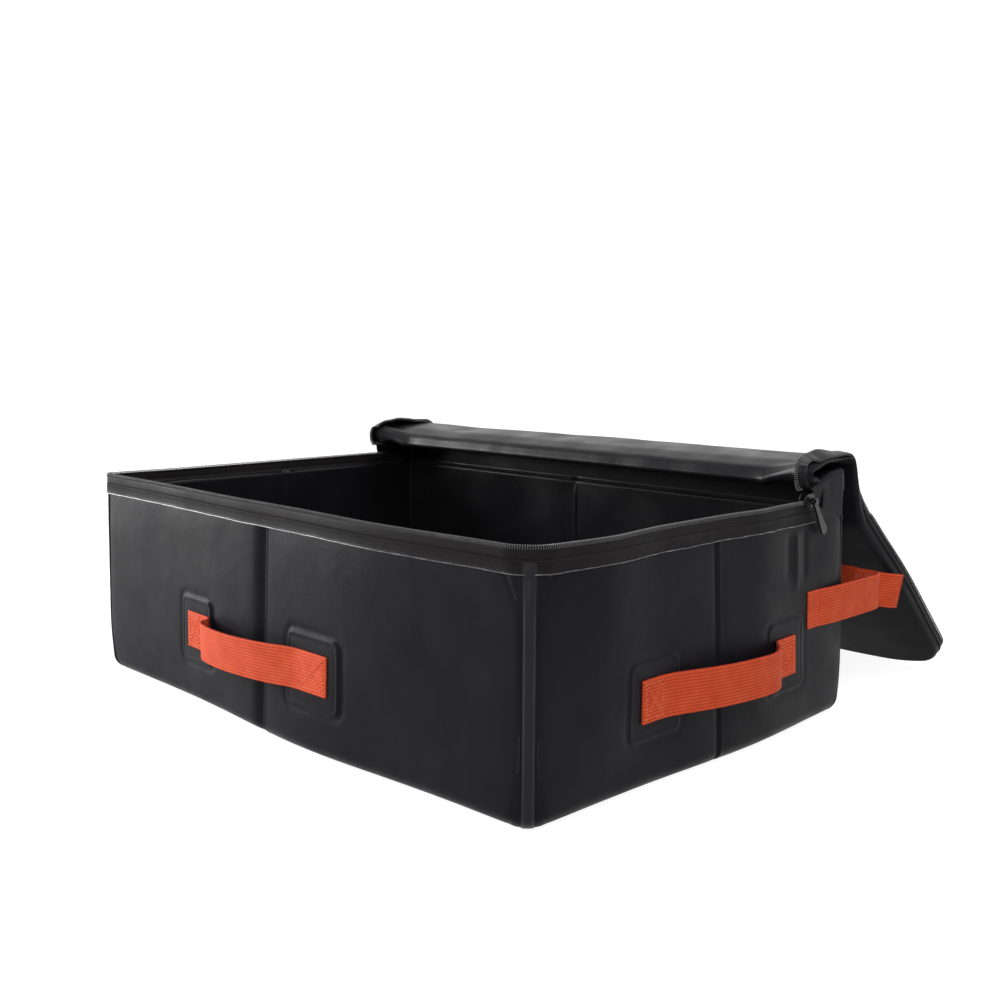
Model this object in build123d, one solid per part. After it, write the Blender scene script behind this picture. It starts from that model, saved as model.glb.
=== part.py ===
from build123d import *
from math import asin, cos, degrees, radians, sin, tan
import os

os.makedirs("parts", exist_ok=True)

# A folding box of welded, coated fabric with boards in its walls and floor, webbing handles,
# and a shallow lid that zips on round three sides. It is drawn with its lid open, folded back
# over the rear wall. Origin: middle of the underside. X runs along the long walls, Y to the
# back, Z up. Lengths are millimetres, angles degrees.

# Tub, measured outside
tub_length = 455.0
tub_width = 312.0
rim_height = 150.0
wall_lean = 1.07
corner_radius = 8.0
floor_edge_radius = 7.5

# Layers of a wall and of the floor, from the outside in
skin_thickness = 0.9
board_thickness = 3.2
liner_thickness = 0.9

# Fold lines: one across the long walls, floor and back, one across the short walls, floor and lid
long_wall_crease_x = -13.0
short_wall_crease_y = 9.0
crease_half_width = 2.2
crease_depth = 1.3
board_crease_gap = 9.0
board_corner_margin = 4.0

# Welded corner strips
corner_strip_width = 7.3
corner_strip_thickness = 0.5

# Zip round the rim: half a coil and its tape on the tub, the other half on the lid
coil_height = 2.7
coil_overhang = 0.5
coil_width = 2.3
tape_height = 4.8
tape_thickness = 1.3
weld_band_height = 7.0
weld_band_thickness = 0.5
zip_end_from_back = 26.0
coil_gap = 1.2
coil_slack = 0.2

# Zip slider and its hanging pull
slider_from_fold = 7.0
slider_length = 12.0
slider_reach = 3.4
slider_plate_thickness = 0.9
slider_web_thickness = 0.6
slider_web_length = 5.0
running_clearance = 0.3
bail_wire = 1.4
bail_span = 5.0
bail_rise = 3.0
pull_length = 27.0
pull_top_width = 3.6
pull_end_width = 6.4
pull_thickness = 1.6
pull_slant = 33.0
pull_eye_width = 4.8
pull_eye_clearance = 0.35
pull_neck_share = 0.33
zip_stop_length = 5.0
zip_stop_thickness = 1.0

# Lid: a shallow tray as large as the rim, folding along three lines that share out its width
lid_depth = 15.0
lid_edge_radius = 3.0
lid_board_margin = 3.0
back_strip_share = 0.128205
crest_run_share = 0.160256
crease_gap = 0.7
open_tilt = 6.0
open_drop_angle = -68.0
open_floor_height = 1.6

# Webbing, its sewn ends and the embossed patches beneath them
webbing_width = 25.0
webbing_thickness = 1.6
patch_height = 46.0
patch_step = 1.2
patch_bevel = 0.7
patch_corner_radius = 5.0
patch_side_margin = 11.0
handle_bow = 14.0
handle_bend_radius = 4.5
handle_steep_run = 9.0
grip_joint_gap = 0.4

front_handle_left = -100.0
front_handle_right = 61.0
front_handle_left_seam = 19.0
front_handle_right_seam = 31.0
front_handle_slope_run = 34.0
front_handle_height = 53.0

side_handle_front = -66.0
side_handle_back = 92.0
side_handle_front_seam = 21.0
side_handle_back_seam = 24.0
side_handle_slope_run = 40.0
side_handle_height = 53.0

# Hold-back strap on the right wall, and the strap on the lid that it fastens to
hold_strap_from_back = 49.0
hold_strap_seam = 12.5
hold_strap_height = 78.0
hold_strap_bow = 3.0
hold_strap_return = 22.0
hold_strap_bend_radius = 6.0
hold_strap_release = 3.8
hold_strap_bow_share = 0.33
hook_patch_length = 16.0
hook_patch_thickness = 1.2
lid_strap_length = 120.0
lid_strap_edge_margin = 6.0
lid_strap_seam = 20.0
lid_strap_bow = 8.0
lid_strap_slope_run = 16.0
lid_strap_height = 66.0

# One overrun serves every cut
overrun = 20.0

# Sizes worked out from those above
zip_end_y = tub_width / 2 - zip_end_from_back
back_strip_end_y = tub_width / 2 - tub_width * back_strip_share
slider_y = back_strip_end_y - slider_from_fold
hold_strap_start_y = tub_width / 2 - hold_strap_from_back
wall_thickness = skin_thickness + board_thickness + liner_thickness
lean_rise = tan(radians(wall_lean))
rim_inset = rim_height * lean_rise
tape_top = rim_height - coil_height
skin_top = tape_top - tape_height
board_top = skin_top - liner_thickness
lid_coil_bottom = rim_height + coil_gap
lid_tape_bottom = lid_coil_bottom + coil_height
lid_skin_bottom = lid_tape_bottom + tape_height
lid_top = rim_height + lid_depth
lid_thickness = wall_thickness
lid_length = tub_length - 2 * rim_inset
lid_width = tub_width - 2 * rim_inset
lid_corner_radius = corner_radius - rim_inset
crest_y = back_strip_end_y - tub_width * crest_run_share
wall_half_length = lid_length / 2
board_end_inset = corner_radius + board_corner_margin + rim_inset


def slab(low, high):
    """Everything between two heights."""
    reach = tub_length + tub_width + overrun
    return Pos(0, 0, (low + high) / 2) * Box(reach, reach, high - low)


def sector(points):
    """A tall prism over a plan outline, to share the box out between its walls."""
    tall = rim_height + lid_depth + 2 * overrun
    return Pos(0, 0, -overrun) * extrude(make_face(Polyline(*points, close=True)), tall)


def tub_form(inset, rounded=True):
    """The tub's outer form, moved in by a distance on every side, its foot rounded or square."""
    plan = RectangleRounded(tub_length - 2 * inset, tub_width - 2 * inset, corner_radius - inset)
    block = extrude(plan, rim_height, taper=wall_lean)
    if inset:
        block = block & slab(inset, rim_height + overrun)
    if not rounded:
        return block
    return fillet(block.faces().sort_by(Axis.Z)[0].edges(), floor_edge_radius - inset)


def tub_layer(outer_inset, inner_inset):
    """One layer inside the outer skin, like a tray inside the next."""
    return tub_form(outer_inset, rounded=False) - tub_form(inner_inset, rounded=False)


def wall_prism(outline, wall):
    """An outline drawn in plan at a wall's foot, drawn out upwards along the lean of that wall."""
    lean = {"front": (0, lean_rise, 1), "back": (0, -lean_rise, 1),
            "right": (-lean_rise, 0, 1), "left": (lean_rise, 0, 1)}[wall]
    face = make_face(Polyline(*outline, close=True))
    return extrude(face, rim_height + lid_depth, dir=lean)


def crease_groove(wall, depth_in):
    """The dip of the fabric into the gap between two boards, as a V that the layer's forms lose."""
    half = crease_half_width + depth_in
    out_y = tub_width / 2 + overrun
    out_x = tub_length / 2 + overrun
    foot_y = tub_width / 2 - depth_in
    foot_x = tub_length / 2 - depth_in
    cx = long_wall_crease_x
    cy = short_wall_crease_y
    outlines = {
        "front": [(cx - half, -out_y), (cx - half, -foot_y), (cx, -foot_y + crease_depth),
                  (cx + half, -foot_y), (cx + half, -out_y)],
        "back": [(cx - half, out_y), (cx - half, foot_y), (cx, foot_y - crease_depth),
                 (cx + half, foot_y), (cx + half, out_y)],
        "right": [(out_x, cy - half), (foot_x, cy - half), (foot_x - crease_depth, cy),
                  (foot_x, cy + half), (out_x, cy + half)],
        "left": [(-out_x, cy - half), (-foot_x, cy - half), (-foot_x + crease_depth, cy),
                 (-foot_x, cy + half), (-out_x, cy + half)],
    }
    return wall_prism(outlines[wall], wall)


def wall_sectors():
    """Four plan wedges that meet on the corner diagonals, where the fabric's seams are."""
    far_x = tub_length / 2 + overrun
    far_y = tub_width / 2 + overrun
    ridge = (tub_length - tub_width) / 2
    return {
        "front": sector([(-far_x, -far_y), (far_x, -far_y), (ridge, 0), (-ridge, 0)]),
        "back": sector([(-far_x, far_y), (far_x, far_y), (ridge, 0), (-ridge, 0)]),
        "right": sector([(far_x, -far_y), (far_x, far_y), (ridge, 0)]),
        "left": sector([(-far_x, -far_y), (-far_x, far_y), (-ridge, 0)]),
    }


def zipped_side():
    """Plan region in front of the zip's two ends, where the rim opens."""
    reach = tub_length + overrun
    depth = tub_width / 2 + overrun + zip_end_y
    return Pos(0, zip_end_y - depth / 2, rim_height) * Box(reach, depth, rim_height + overrun)


def tub_skins(walls):
    """Floor sheet with its turned-up edge, and the four wall sheets with their pressed creases."""
    outer = tub_form(0)
    inner = tub_form(skin_thickness)
    for wall in walls:
        outer = outer - crease_groove(wall, 0)
        inner = inner - crease_groove(wall, skin_thickness)
    layer = outer - inner
    parts = {"floor_skin": layer & slab(0, wall_thickness)}
    upright = layer & slab(wall_thickness, skin_top)
    for wall, wedge in walls.items():
        parts[wall + "_skin"] = upright & wedge
    return parts


def tub_liners(walls):
    """Inner sheets; each wall's sheet turns outwards over the top of its board."""
    board_inset = skin_thickness + board_thickness
    layer = tub_layer(board_inset, wall_thickness)
    turn_over = tub_layer(skin_thickness, board_inset) & slab(board_top, skin_top)
    for wall in walls:
        turn_over = turn_over - crease_groove(wall, skin_thickness)
    parts = {"floor_liner": layer & slab(0, wall_thickness)}
    for wall, wedge in walls.items():
        parts[wall + "_liner"] = ((layer & slab(wall_thickness, skin_top)) + turn_over) & wedge
    return parts


def half_planes():
    """Plan boxes that keep the boards off the fold lines and off the corners."""
    tall = rim_height + overrun
    reach_x = tub_length / 2 + overrun
    reach_y = tub_width / 2 + overrun
    gap = board_crease_gap / 2

    def block(x0, x1, y0, y1):
        return Pos((x0 + x1) / 2, (y0 + y1) / 2, tall / 2) * Box(x1 - x0, y1 - y0, tall)

    return {
        "left": block(-reach_x, long_wall_crease_x - gap, -reach_y, reach_y),
        "right": block(long_wall_crease_x + gap, reach_x, -reach_y, reach_y),
        "front": block(-reach_x, reach_x, -reach_y, short_wall_crease_y - gap),
        "back": block(-reach_x, reach_x, short_wall_crease_y + gap, reach_y),
        "long_walls": block(-tub_length / 2 + board_end_inset, tub_length / 2 - board_end_inset,
                            -reach_y, reach_y),
        "short_walls": block(-reach_x, reach_x, -tub_width / 2 + board_end_inset,
                             tub_width / 2 - board_end_inset),
    }


def boards(walls):
    """Stiff boards between skin and liner: two in each wall and four in the floor."""
    halves = half_planes()
    layer = tub_layer(skin_thickness, skin_thickness + board_thickness)
    margin = wall_thickness + floor_edge_radius
    wall_layer = layer & slab(margin, board_top)
    floor_layer = layer & slab(0, skin_thickness + board_thickness)
    floor_plan = Box(tub_length - 2 * margin, tub_width - 2 * margin, 2 * overrun)
    parts = {}
    for wall, run, pair in (("front", "long_walls", ("left", "right")),
                            ("back", "long_walls", ("left", "right")),
                            ("left", "short_walls", ("front", "back")),
                            ("right", "short_walls", ("front", "back"))):
        for side in pair:
            board = wall_layer & halves[run] & halves[side] & walls[wall]
            parts[wall + "_board_" + side] = board
    for depth in ("front", "back"):
        for side in ("left", "right"):
            board = floor_layer & floor_plan & halves[depth] & halves[side]
            parts["floor_board_" + depth + "_" + side] = board
    return parts


def corner_strips():
    """Weld strips over the four upright seams, from the floor's turned-up edge to the weld band."""
    raised = tub_form(-corner_strip_thickness) - tub_form(0)
    top = skin_top - weld_band_height
    reach = 2 * overrun
    strips = Part()
    for side_x in (-1, 1):
        for side_y in (-1, 1):
            corner = (side_x * (tub_length / 2 - corner_radius), side_y * (tub_width / 2 - corner_radius))
            turn = 45 * side_x * side_y
            cut = Pos(*corner, (floor_edge_radius + top) / 2) * Rot(0, 0, turn) * Box(
                reach * 2, corner_strip_width, top - floor_edge_radius)
            strips = strips + (raised & cut)
    return strips


def rim_ring(outer_inset, inner_inset, low, high):
    """A ring that follows the leaning walls between two heights."""
    plan_out = RectangleRounded(tub_length - 2 * outer_inset, tub_width - 2 * outer_inset,
                                corner_radius - outer_inset)
    plan_in = RectangleRounded(tub_length - 2 * inner_inset, tub_width - 2 * inner_inset,
                               corner_radius - inner_inset)
    ring = extrude(plan_out, rim_height, taper=wall_lean) - extrude(plan_in, rim_height, taper=wall_lean)
    return ring & slab(low, high)


def lid_ring(outer_inset, inner_inset, low, high):
    """The same ring on the lid's upright sides."""
    plan_out = RectangleRounded(lid_length - 2 * outer_inset, lid_width - 2 * outer_inset,
                                lid_corner_radius - outer_inset)
    plan_in = RectangleRounded(lid_length - 2 * inner_inset, lid_width - 2 * inner_inset,
                               lid_corner_radius - inner_inset)
    return Pos(0, 0, low) * extrude(plan_out - plan_in, high - low)


def tub_zip(walls):
    """Tape and half coil on the front and both sides, the weld band, and the stops at the ends."""
    open_run = zipped_side()
    tape = rim_ring(0, tape_thickness, skin_top, tape_top) & open_run
    parts = {}
    for wall in ("front", "left", "right"):
        parts["zip_tape_" + wall] = tape & walls[wall]
    coil = rim_ring(-coil_overhang, coil_width - coil_overhang, tape_top, rim_height) & open_run
    parts["tub_zip_coil"] = coil
    band = rim_ring(-weld_band_thickness, 0, skin_top - weld_band_height, skin_top)
    parts["rim_weld_band"] = band & open_run
    return parts


# Lid, drawn closed first and then folded open about its three fold lines
crease_reach = lid_thickness / 2
end_run = short_wall_crease_y + lid_width / 2
fold_turn = 180 - open_tilt
crest_turn = open_tilt - open_drop_angle
fold_axis = (back_strip_end_y, lid_top)
crest_axis = (crest_y, lid_top)
crease_axis = (short_wall_crease_y, lid_top - crease_reach)


def turned(point, axis, angle):
    """Where a (Y, Z) point goes when it turns about a line along X."""
    dy = point[0] - axis[0]
    dz = point[1] - axis[1]
    c = cos(radians(angle))
    s = sin(radians(angle))
    return (axis[0] + dy * c - dz * s, axis[1] + dy * s + dz * c)


crest_axis_open = turned(crest_axis, fold_axis, -fold_turn)
crease_axis_open = turned(turned(crease_axis, crest_axis, -crest_turn), fold_axis, -fold_turn)
front_edge_drop = crease_axis_open[1] - open_floor_height
front_edge_lift = degrees(asin(crease_reach / end_run))
front_half_drop = -degrees(asin(front_edge_drop / end_run)) + front_edge_lift
crease_turn = front_half_drop - open_drop_angle


def turn_about(shape, axis, angle):
    """Turn a solid about a line along X through a (Y, Z) point."""
    return Pos(0, axis[0], axis[1]) * Rot(angle, 0, 0) * Pos(0, -axis[0], -axis[1]) * shape


def opened(shape, segment):
    """Carry a piece of the closed lid to where it lies with the lid open."""
    if segment == "back":
        return shape
    if segment == "front":
        shape = turn_about(shape, crease_axis, crease_turn)
    if segment in ("front", "rear"):
        shape = turn_about(shape, crest_axis, -crest_turn)
    return turn_about(shape, fold_axis, -fold_turn)


def lid_span(segment):
    """The stretch of the closed lid, front to back, that one segment takes up."""
    gap = crease_gap / 2
    spans = {
        "back": (back_strip_end_y + gap, lid_width / 2 + overrun),
        "fold": (crest_y + gap, back_strip_end_y - gap),
        "rear": (short_wall_crease_y + gap, crest_y - gap),
        "front": (-lid_width / 2 - overrun, short_wall_crease_y - gap),
    }
    low, high = spans[segment]
    reach = lid_length + overrun
    tall = 2 * (lid_depth + 2 * overrun)
    block = Pos(0, (low + high) / 2, rim_height) * Box(reach, high - low, tall)
    if segment in ("rear", "front"):
        block = block - pleat_room()
    return block


def pleat_room():
    """A wedge across the lid's inner side at its crease: the cloth there folds in when it bends."""
    y, z = crease_axis
    deep = lid_depth + coil_gap + overrun
    half = crease_gap / 2 + (deep - crease_reach) * tan(radians(abs(crease_turn) / 2))
    start = crease_gap / 2
    outline = Polyline((0, y - start, z), (0, y + start, z), (0, y + half, z - deep),
                       (0, y - half, z - deep), close=True)
    return extrude(make_face(outline), lid_length, both=True, dir=(1, 0, 0))


def lid_layers():
    """Tray skin, board and liner of the closed lid, one above the other."""
    plan = RectangleRounded(lid_length, lid_width, lid_corner_radius)
    block = Pos(0, 0, lid_skin_bottom) * extrude(plan, lid_top - lid_skin_bottom)
    block = fillet(block.faces().sort_by(Axis.Z)[-1].edges(), lid_edge_radius)
    inner_plan = RectangleRounded(lid_length - 2 * skin_thickness, lid_width - 2 * skin_thickness,
                                  lid_corner_radius - skin_thickness)
    room_top = lid_top - skin_thickness
    room = Pos(0, 0, lid_skin_bottom) * extrude(inner_plan, room_top - lid_skin_bottom)
    room = fillet(room.faces().sort_by(Axis.Z)[-1].edges(), lid_edge_radius - skin_thickness)
    board_low = room_top - board_thickness
    side = skin_thickness + lid_board_margin
    board = Pos(0, 0, board_low + board_thickness / 2) * Box(
        lid_length - 2 * side, lid_width - 2 * side, board_thickness)
    liner = Pos(0, 0, board_low - liner_thickness) * extrude(inner_plan, liner_thickness)
    backed = Pos(0, 0, board_low - liner_thickness) * extrude(
        inner_plan, liner_thickness + board_thickness)
    return {"skin": block - room, "board": board, "liner": liner, "backed_liner": backed & room}


def lid_parts():
    """Every layer of the lid and its half of the zip, cut at the fold lines and laid open."""
    layers = lid_layers()
    tape = lid_ring(0, tape_thickness, lid_tape_bottom, lid_skin_bottom)
    coil = lid_ring(-coil_overhang, coil_width - coil_overhang, lid_coil_bottom, lid_tape_bottom)
    names = {"back": "lid_back_strip", "fold": "lid_fold", "rear": "lid_rear", "front": "lid_front"}
    parts = {}
    for segment, name in names.items():
        span = lid_span(segment)
        parts[name + "_skin"] = opened(layers["skin"] & span, segment)
        if segment == "front":
            parts[name + "_board"] = opened(layers["board"] & span, segment)
            parts[name + "_liner"] = opened(layers["liner"] & span, segment)
            parts[name + "_zip_tape"] = opened(tape & span, segment)
            parts[name + "_zip_coil"] = opened(coil & span, segment)
        else:
            run = span & zipped_side()
            parts[name + "_liner"] = opened(layers["backed_liner"] & span, segment)
            parts[name + "_zip"] = opened(side_by_side(tape & run, coil & run), segment)
    parts["rear_hinge_skin"] = rear_hinge_skin()
    return parts


def side_by_side(*shapes):
    """Several pieces kept as separate solids in one group."""
    return Compound(children=[solid for shape in shapes for solid in shape.solids()])


def rear_hinge_skin():
    """The fabric that joins tub and lid behind the zip's ends: round the back and both corners."""
    reach = tub_length + overrun
    depth = tub_width / 2 + overrun - zip_end_y
    behind = Pos(0, zip_end_y + depth / 2, rim_height) * Box(reach, depth, rim_height)
    lower = rim_ring(0, skin_thickness, skin_top, rim_height) & behind
    upper = lid_ring(0, skin_thickness, rim_height, lid_skin_bottom) & behind
    return lower + upper


def zip_slider():
    """Two rounded plates astride the tapes, joined by a thin web that runs between the coils."""
    outer_face = wall_half_length + coil_overhang + running_clearance
    inner_face = wall_half_length + coil_overhang - coil_width - running_clearance - 2 * coil_slack
    middle_z = rim_height + coil_gap / 2
    tall = 2 * (slider_reach + coil_gap)
    plate = extrude(SlotOverall(slider_length, tall), slider_plate_thickness)
    outside = Plane((outer_face, slider_y, middle_z), x_dir=(0, 1, 0), z_dir=(1, 0, 0)) * plate
    inside = Pos(inner_face - slider_plate_thickness - outer_face, 0, 0) * outside
    web_y = slider_y - slider_length / 2 + slider_web_length / 2 + running_clearance
    web = Pos((outer_face + inner_face) / 2, web_y, middle_z) * Box(
        outer_face - inner_face, slider_web_length, slider_web_thickness)
    return outside + inside + web + slider_bail(outer_face + slider_plate_thickness, middle_z)


def slider_bail(face_x, middle_z):
    """The low arch on the outer plate that the pull hangs from; its bar runs along the zip."""
    reach = bail_rise + bail_wire / 2
    outside = Rectangle(bail_span + bail_wire, 2 * reach)
    window = Rectangle(bail_span - bail_wire, 2 * (reach - bail_wire))
    arch = extrude(outside - window, bail_wire / 2, both=True)
    rounded = fillet(arch.edges().filter_by(Axis.Z).filter_by(
        lambda edge: abs(edge.center().X) > bail_span / 2), bail_wire / 2)
    standing = Plane((face_x, slider_y, middle_z), x_dir=(0, 1, 0), z_dir=(0, 0, 1)) * rounded
    outer_side = Pos(face_x + overrun, slider_y, middle_z) * Box(2 * overrun, 2 * overrun, overrun)
    return standing & outer_side


def pull_axis():
    """The middle of the bail's bar, which the pull swings about."""
    face_x = wall_half_length + coil_overhang + running_clearance + slider_plate_thickness
    return (face_x + bail_rise, slider_y, rim_height + coil_gap / 2)


def pull_tab():
    """A teardrop tab with an eye round the bail's bar, hanging a little to one side."""
    eye_radius = pull_eye_width / 2
    hole_radius = bail_wire / 2 + pull_eye_clearance
    end_radius = pull_end_width / 2
    neck = pull_top_width / 2
    drop = pull_length - end_radius
    neck_drop = drop * pull_neck_share
    blade = make_hull([*(Pos(0, -drop) * Circle(end_radius)).edges(),
                       *(Pos(0, -neck_drop) * Circle(neck)).edges()])
    stem = Pos(0, -(neck_drop + eye_radius) / 2) * Rectangle(2 * neck, neck_drop + eye_radius)
    outline = Rot(0, 0, pull_slant) * (blade + stem)
    body = Pos(0, 0, -pull_thickness / 2) * extrude(outline, pull_thickness)
    eye = Rot(0, 90, 0) * (Pos(0, 0, -neck) * extrude(Circle(eye_radius) - Circle(hole_radius), 2 * neck))
    room = Rot(0, 90, 0) * (Pos(0, 0, -pull_length / 2) * extrude(Circle(hole_radius), pull_length))
    return (body - room) + eye


def placed_pull():
    """Stand the tab against the right wall on the bail's bar and let it lean to the back."""
    return Plane(pull_axis(), x_dir=(0, 1, 0), z_dir=(1, 0, 0)) * pull_tab()


def zip_stops():
    """Small tabs over the ends of the zip, on both sides."""
    low = tape_top - coil_height
    high = lid_tape_bottom + coil_height
    block = Pos(0, zip_end_y - zip_stop_length / 2, (low + high) / 2) * Box(
        tub_length, zip_stop_length, high - low)
    ring = lid_ring(-coil_overhang - zip_stop_thickness - running_clearance,
                    -coil_overhang - running_clearance, low, high)
    bridge_low = lid_coil_bottom - coil_gap
    bridge = lid_ring(-coil_overhang - running_clearance, coil_width - coil_overhang,
                      bridge_low, lid_coil_bottom)
    return (ring + bridge) & block


# Planes that lie on the leaning walls: x along the wall, y up it, z outwards
lean_cos = cos(radians(wall_lean))
lean_sin = sin(radians(wall_lean))
wall_planes = {
    "front": Plane((0, -tub_width / 2, 0), x_dir=(1, 0, 0), z_dir=(0, -lean_cos, lean_sin)),
    "right": Plane((tub_length / 2, 0, 0), x_dir=(0, 1, 0), z_dir=(lean_cos, 0, lean_sin)),
    "left": Plane((-tub_length / 2, 0, 0), x_dir=(0, -1, 0), z_dir=(-lean_cos, 0, lean_sin)),
}


def embossed_patch(middle, width, height):
    """A raised rounded rectangle with a bevelled edge, welded to the wall under a sewn end."""
    outline = RectangleRounded(width, patch_height, patch_corner_radius)
    pad = extrude(outline, patch_step)
    pad = chamfer(pad.faces().sort_by(Axis.Z)[-1].edges(), patch_bevel)
    return Pos(middle, height, 0) * pad


def handle_path(start, start_seam, end, end_seam, slope_run, base):
    """The middle line of a bowed handle: flat ends, one steep rise and one long gentle slope."""
    bow = base + handle_bow
    return [(start, base), (start + start_seam, base), (start + start_seam + handle_steep_run, bow),
            (end - end_seam - slope_run, bow), (end - end_seam, base), (end, base)]


def webbing_strip(points, radius):
    """A strip of webbing standing on its edge: its route, thickened, drawn out across its width."""
    route = FilletPolyline(*points, radius=radius)
    band = offset(route, webbing_thickness / 2, side=Side.BOTH, closed=True)
    strip = extrude(make_face(band.edges()), webbing_width / 2, both=True)
    return Rot(90, 0, 0) * strip


def handle_parts(plane, start, start_seam, end, end_seam, slope_run, height, mirrored):
    """Sewn ends, moving grip and the two embossed patches of one handle."""
    base = patch_step + webbing_thickness / 2
    points = handle_path(start, start_seam, end, end_seam, slope_run, base)
    if mirrored:
        points = handle_path(start, end_seam, end, start_seam, slope_run, base)
        points = [(start + end - x, h) for x, h in reversed(points)]
    strip = webbing_strip(points, handle_bend_radius)
    grip_low = base + handle_bow - webbing_thickness
    xs = sorted(x for x, h in points if h > grip_low)
    low = xs[0]
    high = xs[-1]
    tall = 2 * (handle_bow + overrun)
    core = Pos((low + high) / 2, 0, 0) * Box(high - low, 2 * webbing_width, tall)
    wide_core = Pos((low + high) / 2, 0, 0) * Box(
        high - low + 2 * grip_joint_gap, 2 * webbing_width, tall)
    lift = Pos(0, height, 0)
    grip = plane * (lift * (strip & core))
    ends = plane * (lift * (strip - wide_core))
    left_width = start_seam + 2 * patch_side_margin
    right_width = end_seam + 2 * patch_side_margin
    patches = embossed_patch(start + start_seam / 2, left_width, height) + embossed_patch(
        end - end_seam / 2, right_width, height)
    return {"grip": grip, "ends": ends, "patches": plane * patches}


def all_handles():
    """Front and right handles as photographed, and the right one's twin on the left wall."""
    parts = {}
    rows = (
        ("front", front_handle_left, front_handle_left_seam, front_handle_right,
         front_handle_right_seam, front_handle_slope_run, front_handle_height, False),
        ("right", side_handle_front, side_handle_front_seam, side_handle_back,
         side_handle_back_seam, side_handle_slope_run, side_handle_height, True),
        ("left", -side_handle_back, side_handle_back_seam, -side_handle_front,
         side_handle_front_seam, side_handle_slope_run, side_handle_height, False),
    )
    for wall, start, start_seam, end, end_seam, slope_run, height, mirrored in rows:
        pieces = handle_parts(wall_planes[wall], start, start_seam, end, end_seam, slope_run,
                              height, mirrored)
        parts[wall + "_handle_grip"] = pieces["grip"]
        parts[wall + "_handle_ends"] = pieces["ends"]
        parts[wall + "_handle_patches"] = pieces["patches"]
    return parts


# Hold-back strap: along the right wall, past the rear corner and in behind it
strap_wall_x = tub_length / 2 - hold_strap_height * lean_rise + webbing_width * lean_rise
strap_base_x = strap_wall_x + webbing_thickness / 2
strap_seam_end_y = hold_strap_start_y + hold_strap_seam
strap_hinge_y = strap_seam_end_y + grip_joint_gap + webbing_thickness / 2
strap_top = hold_strap_height + webbing_width / 2


def lid_face_y(height):
    """How far back the open lid's outer face is at a height on its front half."""
    slope = tan(radians(front_half_drop))
    y, z = crease_axis_open
    outward = crease_reach / sin(radians(-front_half_drop))
    return y - outward + (height - z) / slope


strap_turn_y = lid_face_y(strap_top) - webbing_thickness * 2 - hook_patch_thickness - hold_strap_release


def hold_back_strap():
    """Sewn end, free length and the hook patch on the side of it that faces the lid."""
    seam = Pos(strap_base_x, hold_strap_start_y + hold_strap_seam / 2, hold_strap_height) * Box(
        webbing_thickness, hold_strap_seam, webbing_width)
    bow_x = strap_base_x + hold_strap_bow
    bow_y = strap_hinge_y + (strap_turn_y - strap_hinge_y) * hold_strap_bow_share
    points = [(strap_base_x, strap_hinge_y), (bow_x, bow_y), (bow_x, strap_turn_y),
              (bow_x - hold_strap_return, strap_turn_y)]
    route = FilletPolyline(*points, radius=hold_strap_bend_radius)
    band = offset(route, webbing_thickness / 2, side=Side.BOTH, closed=True)
    free = extrude(make_face(band.edges()), webbing_width / 2, both=True)
    patch_y = strap_turn_y + webbing_thickness / 2 + hook_patch_thickness / 2
    patch = Pos(bow_x - hold_strap_return + hook_patch_length / 2, patch_y, hold_strap_height) * Box(
        hook_patch_length, hook_patch_thickness, webbing_width - 2 * webbing_thickness)
    return {
        "hold_strap_seam": seam,
        "hold_strap": Pos(0, 0, hold_strap_height) * free,
        "hold_strap_hook_patch": patch,
    }


def lid_strap():
    """The strap sewn along the lid's outer face near its right edge."""
    right = lid_length / 2 - lid_strap_edge_margin
    left = right - lid_strap_length
    base = webbing_thickness / 2
    points = [(left, base), (left + lid_strap_seam, base),
              (left + lid_strap_seam + lid_strap_slope_run, base + lid_strap_bow),
              (right - lid_strap_seam - lid_strap_slope_run, base + lid_strap_bow),
              (right - lid_strap_seam, base), (right, base)]
    strip = webbing_strip(points, handle_bend_radius)
    closed_y = short_wall_crease_y - (crease_axis_open[1] - lid_strap_height) / sin(
        radians(-front_half_drop))
    return opened(Pos(0, closed_y, lid_top) * strip, "front")


def build_all():
    """All pieces by name."""
    walls = wall_sectors()
    pieces = {}
    pieces.update(tub_skins(walls))
    pieces.update(tub_liners(walls))
    pieces.update(boards(walls))
    pieces["corner_weld_strips"] = corner_strips()
    pieces.update(tub_zip(walls))
    pieces.update(lid_parts())
    pieces["zip_slider"] = zip_slider()
    pieces["zip_pull"] = placed_pull()
    pieces["zip_stops"] = zip_stops()
    pieces.update(all_handles())
    pieces.update(hold_back_strap())
    pieces["lid_strap"] = lid_strap()
    return pieces


def report_joints():
    """Print the places and turns that the joints use."""
    print("fold line", fold_axis, "closes by", fold_turn)
    print("crest line, lid open", crest_axis_open, "turn", crest_turn)
    print("lid crease, lid open", crease_axis_open, "turn", -crease_turn)
    print("pull axis", pull_axis())
    print("strap hinge", (strap_base_x, strap_hinge_y, hold_strap_height))


for node, shape in build_all().items():
    export_step(shape, "parts/" + node + ".step")
report_joints()
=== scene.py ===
# %% [markdown]
# # A folding box of welded cloth, dressed for a photograph
#
# The box is built twice. Its solids, with their sizes and joints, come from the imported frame.
# This script adds what the eye sees: puffed panels, welds, zip teeth, webbing and the folded lid.
# Lengths are metres. X runs along the long walls, Y to the back, Z up, and the box stands on z = 0.

# %% Load the frame
from math import atan2, ceil, cos, pi, radians, sin, tan
import bmesh
import bpy
import numpy as np
from mathutils import Matrix, Vector, noise


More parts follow.
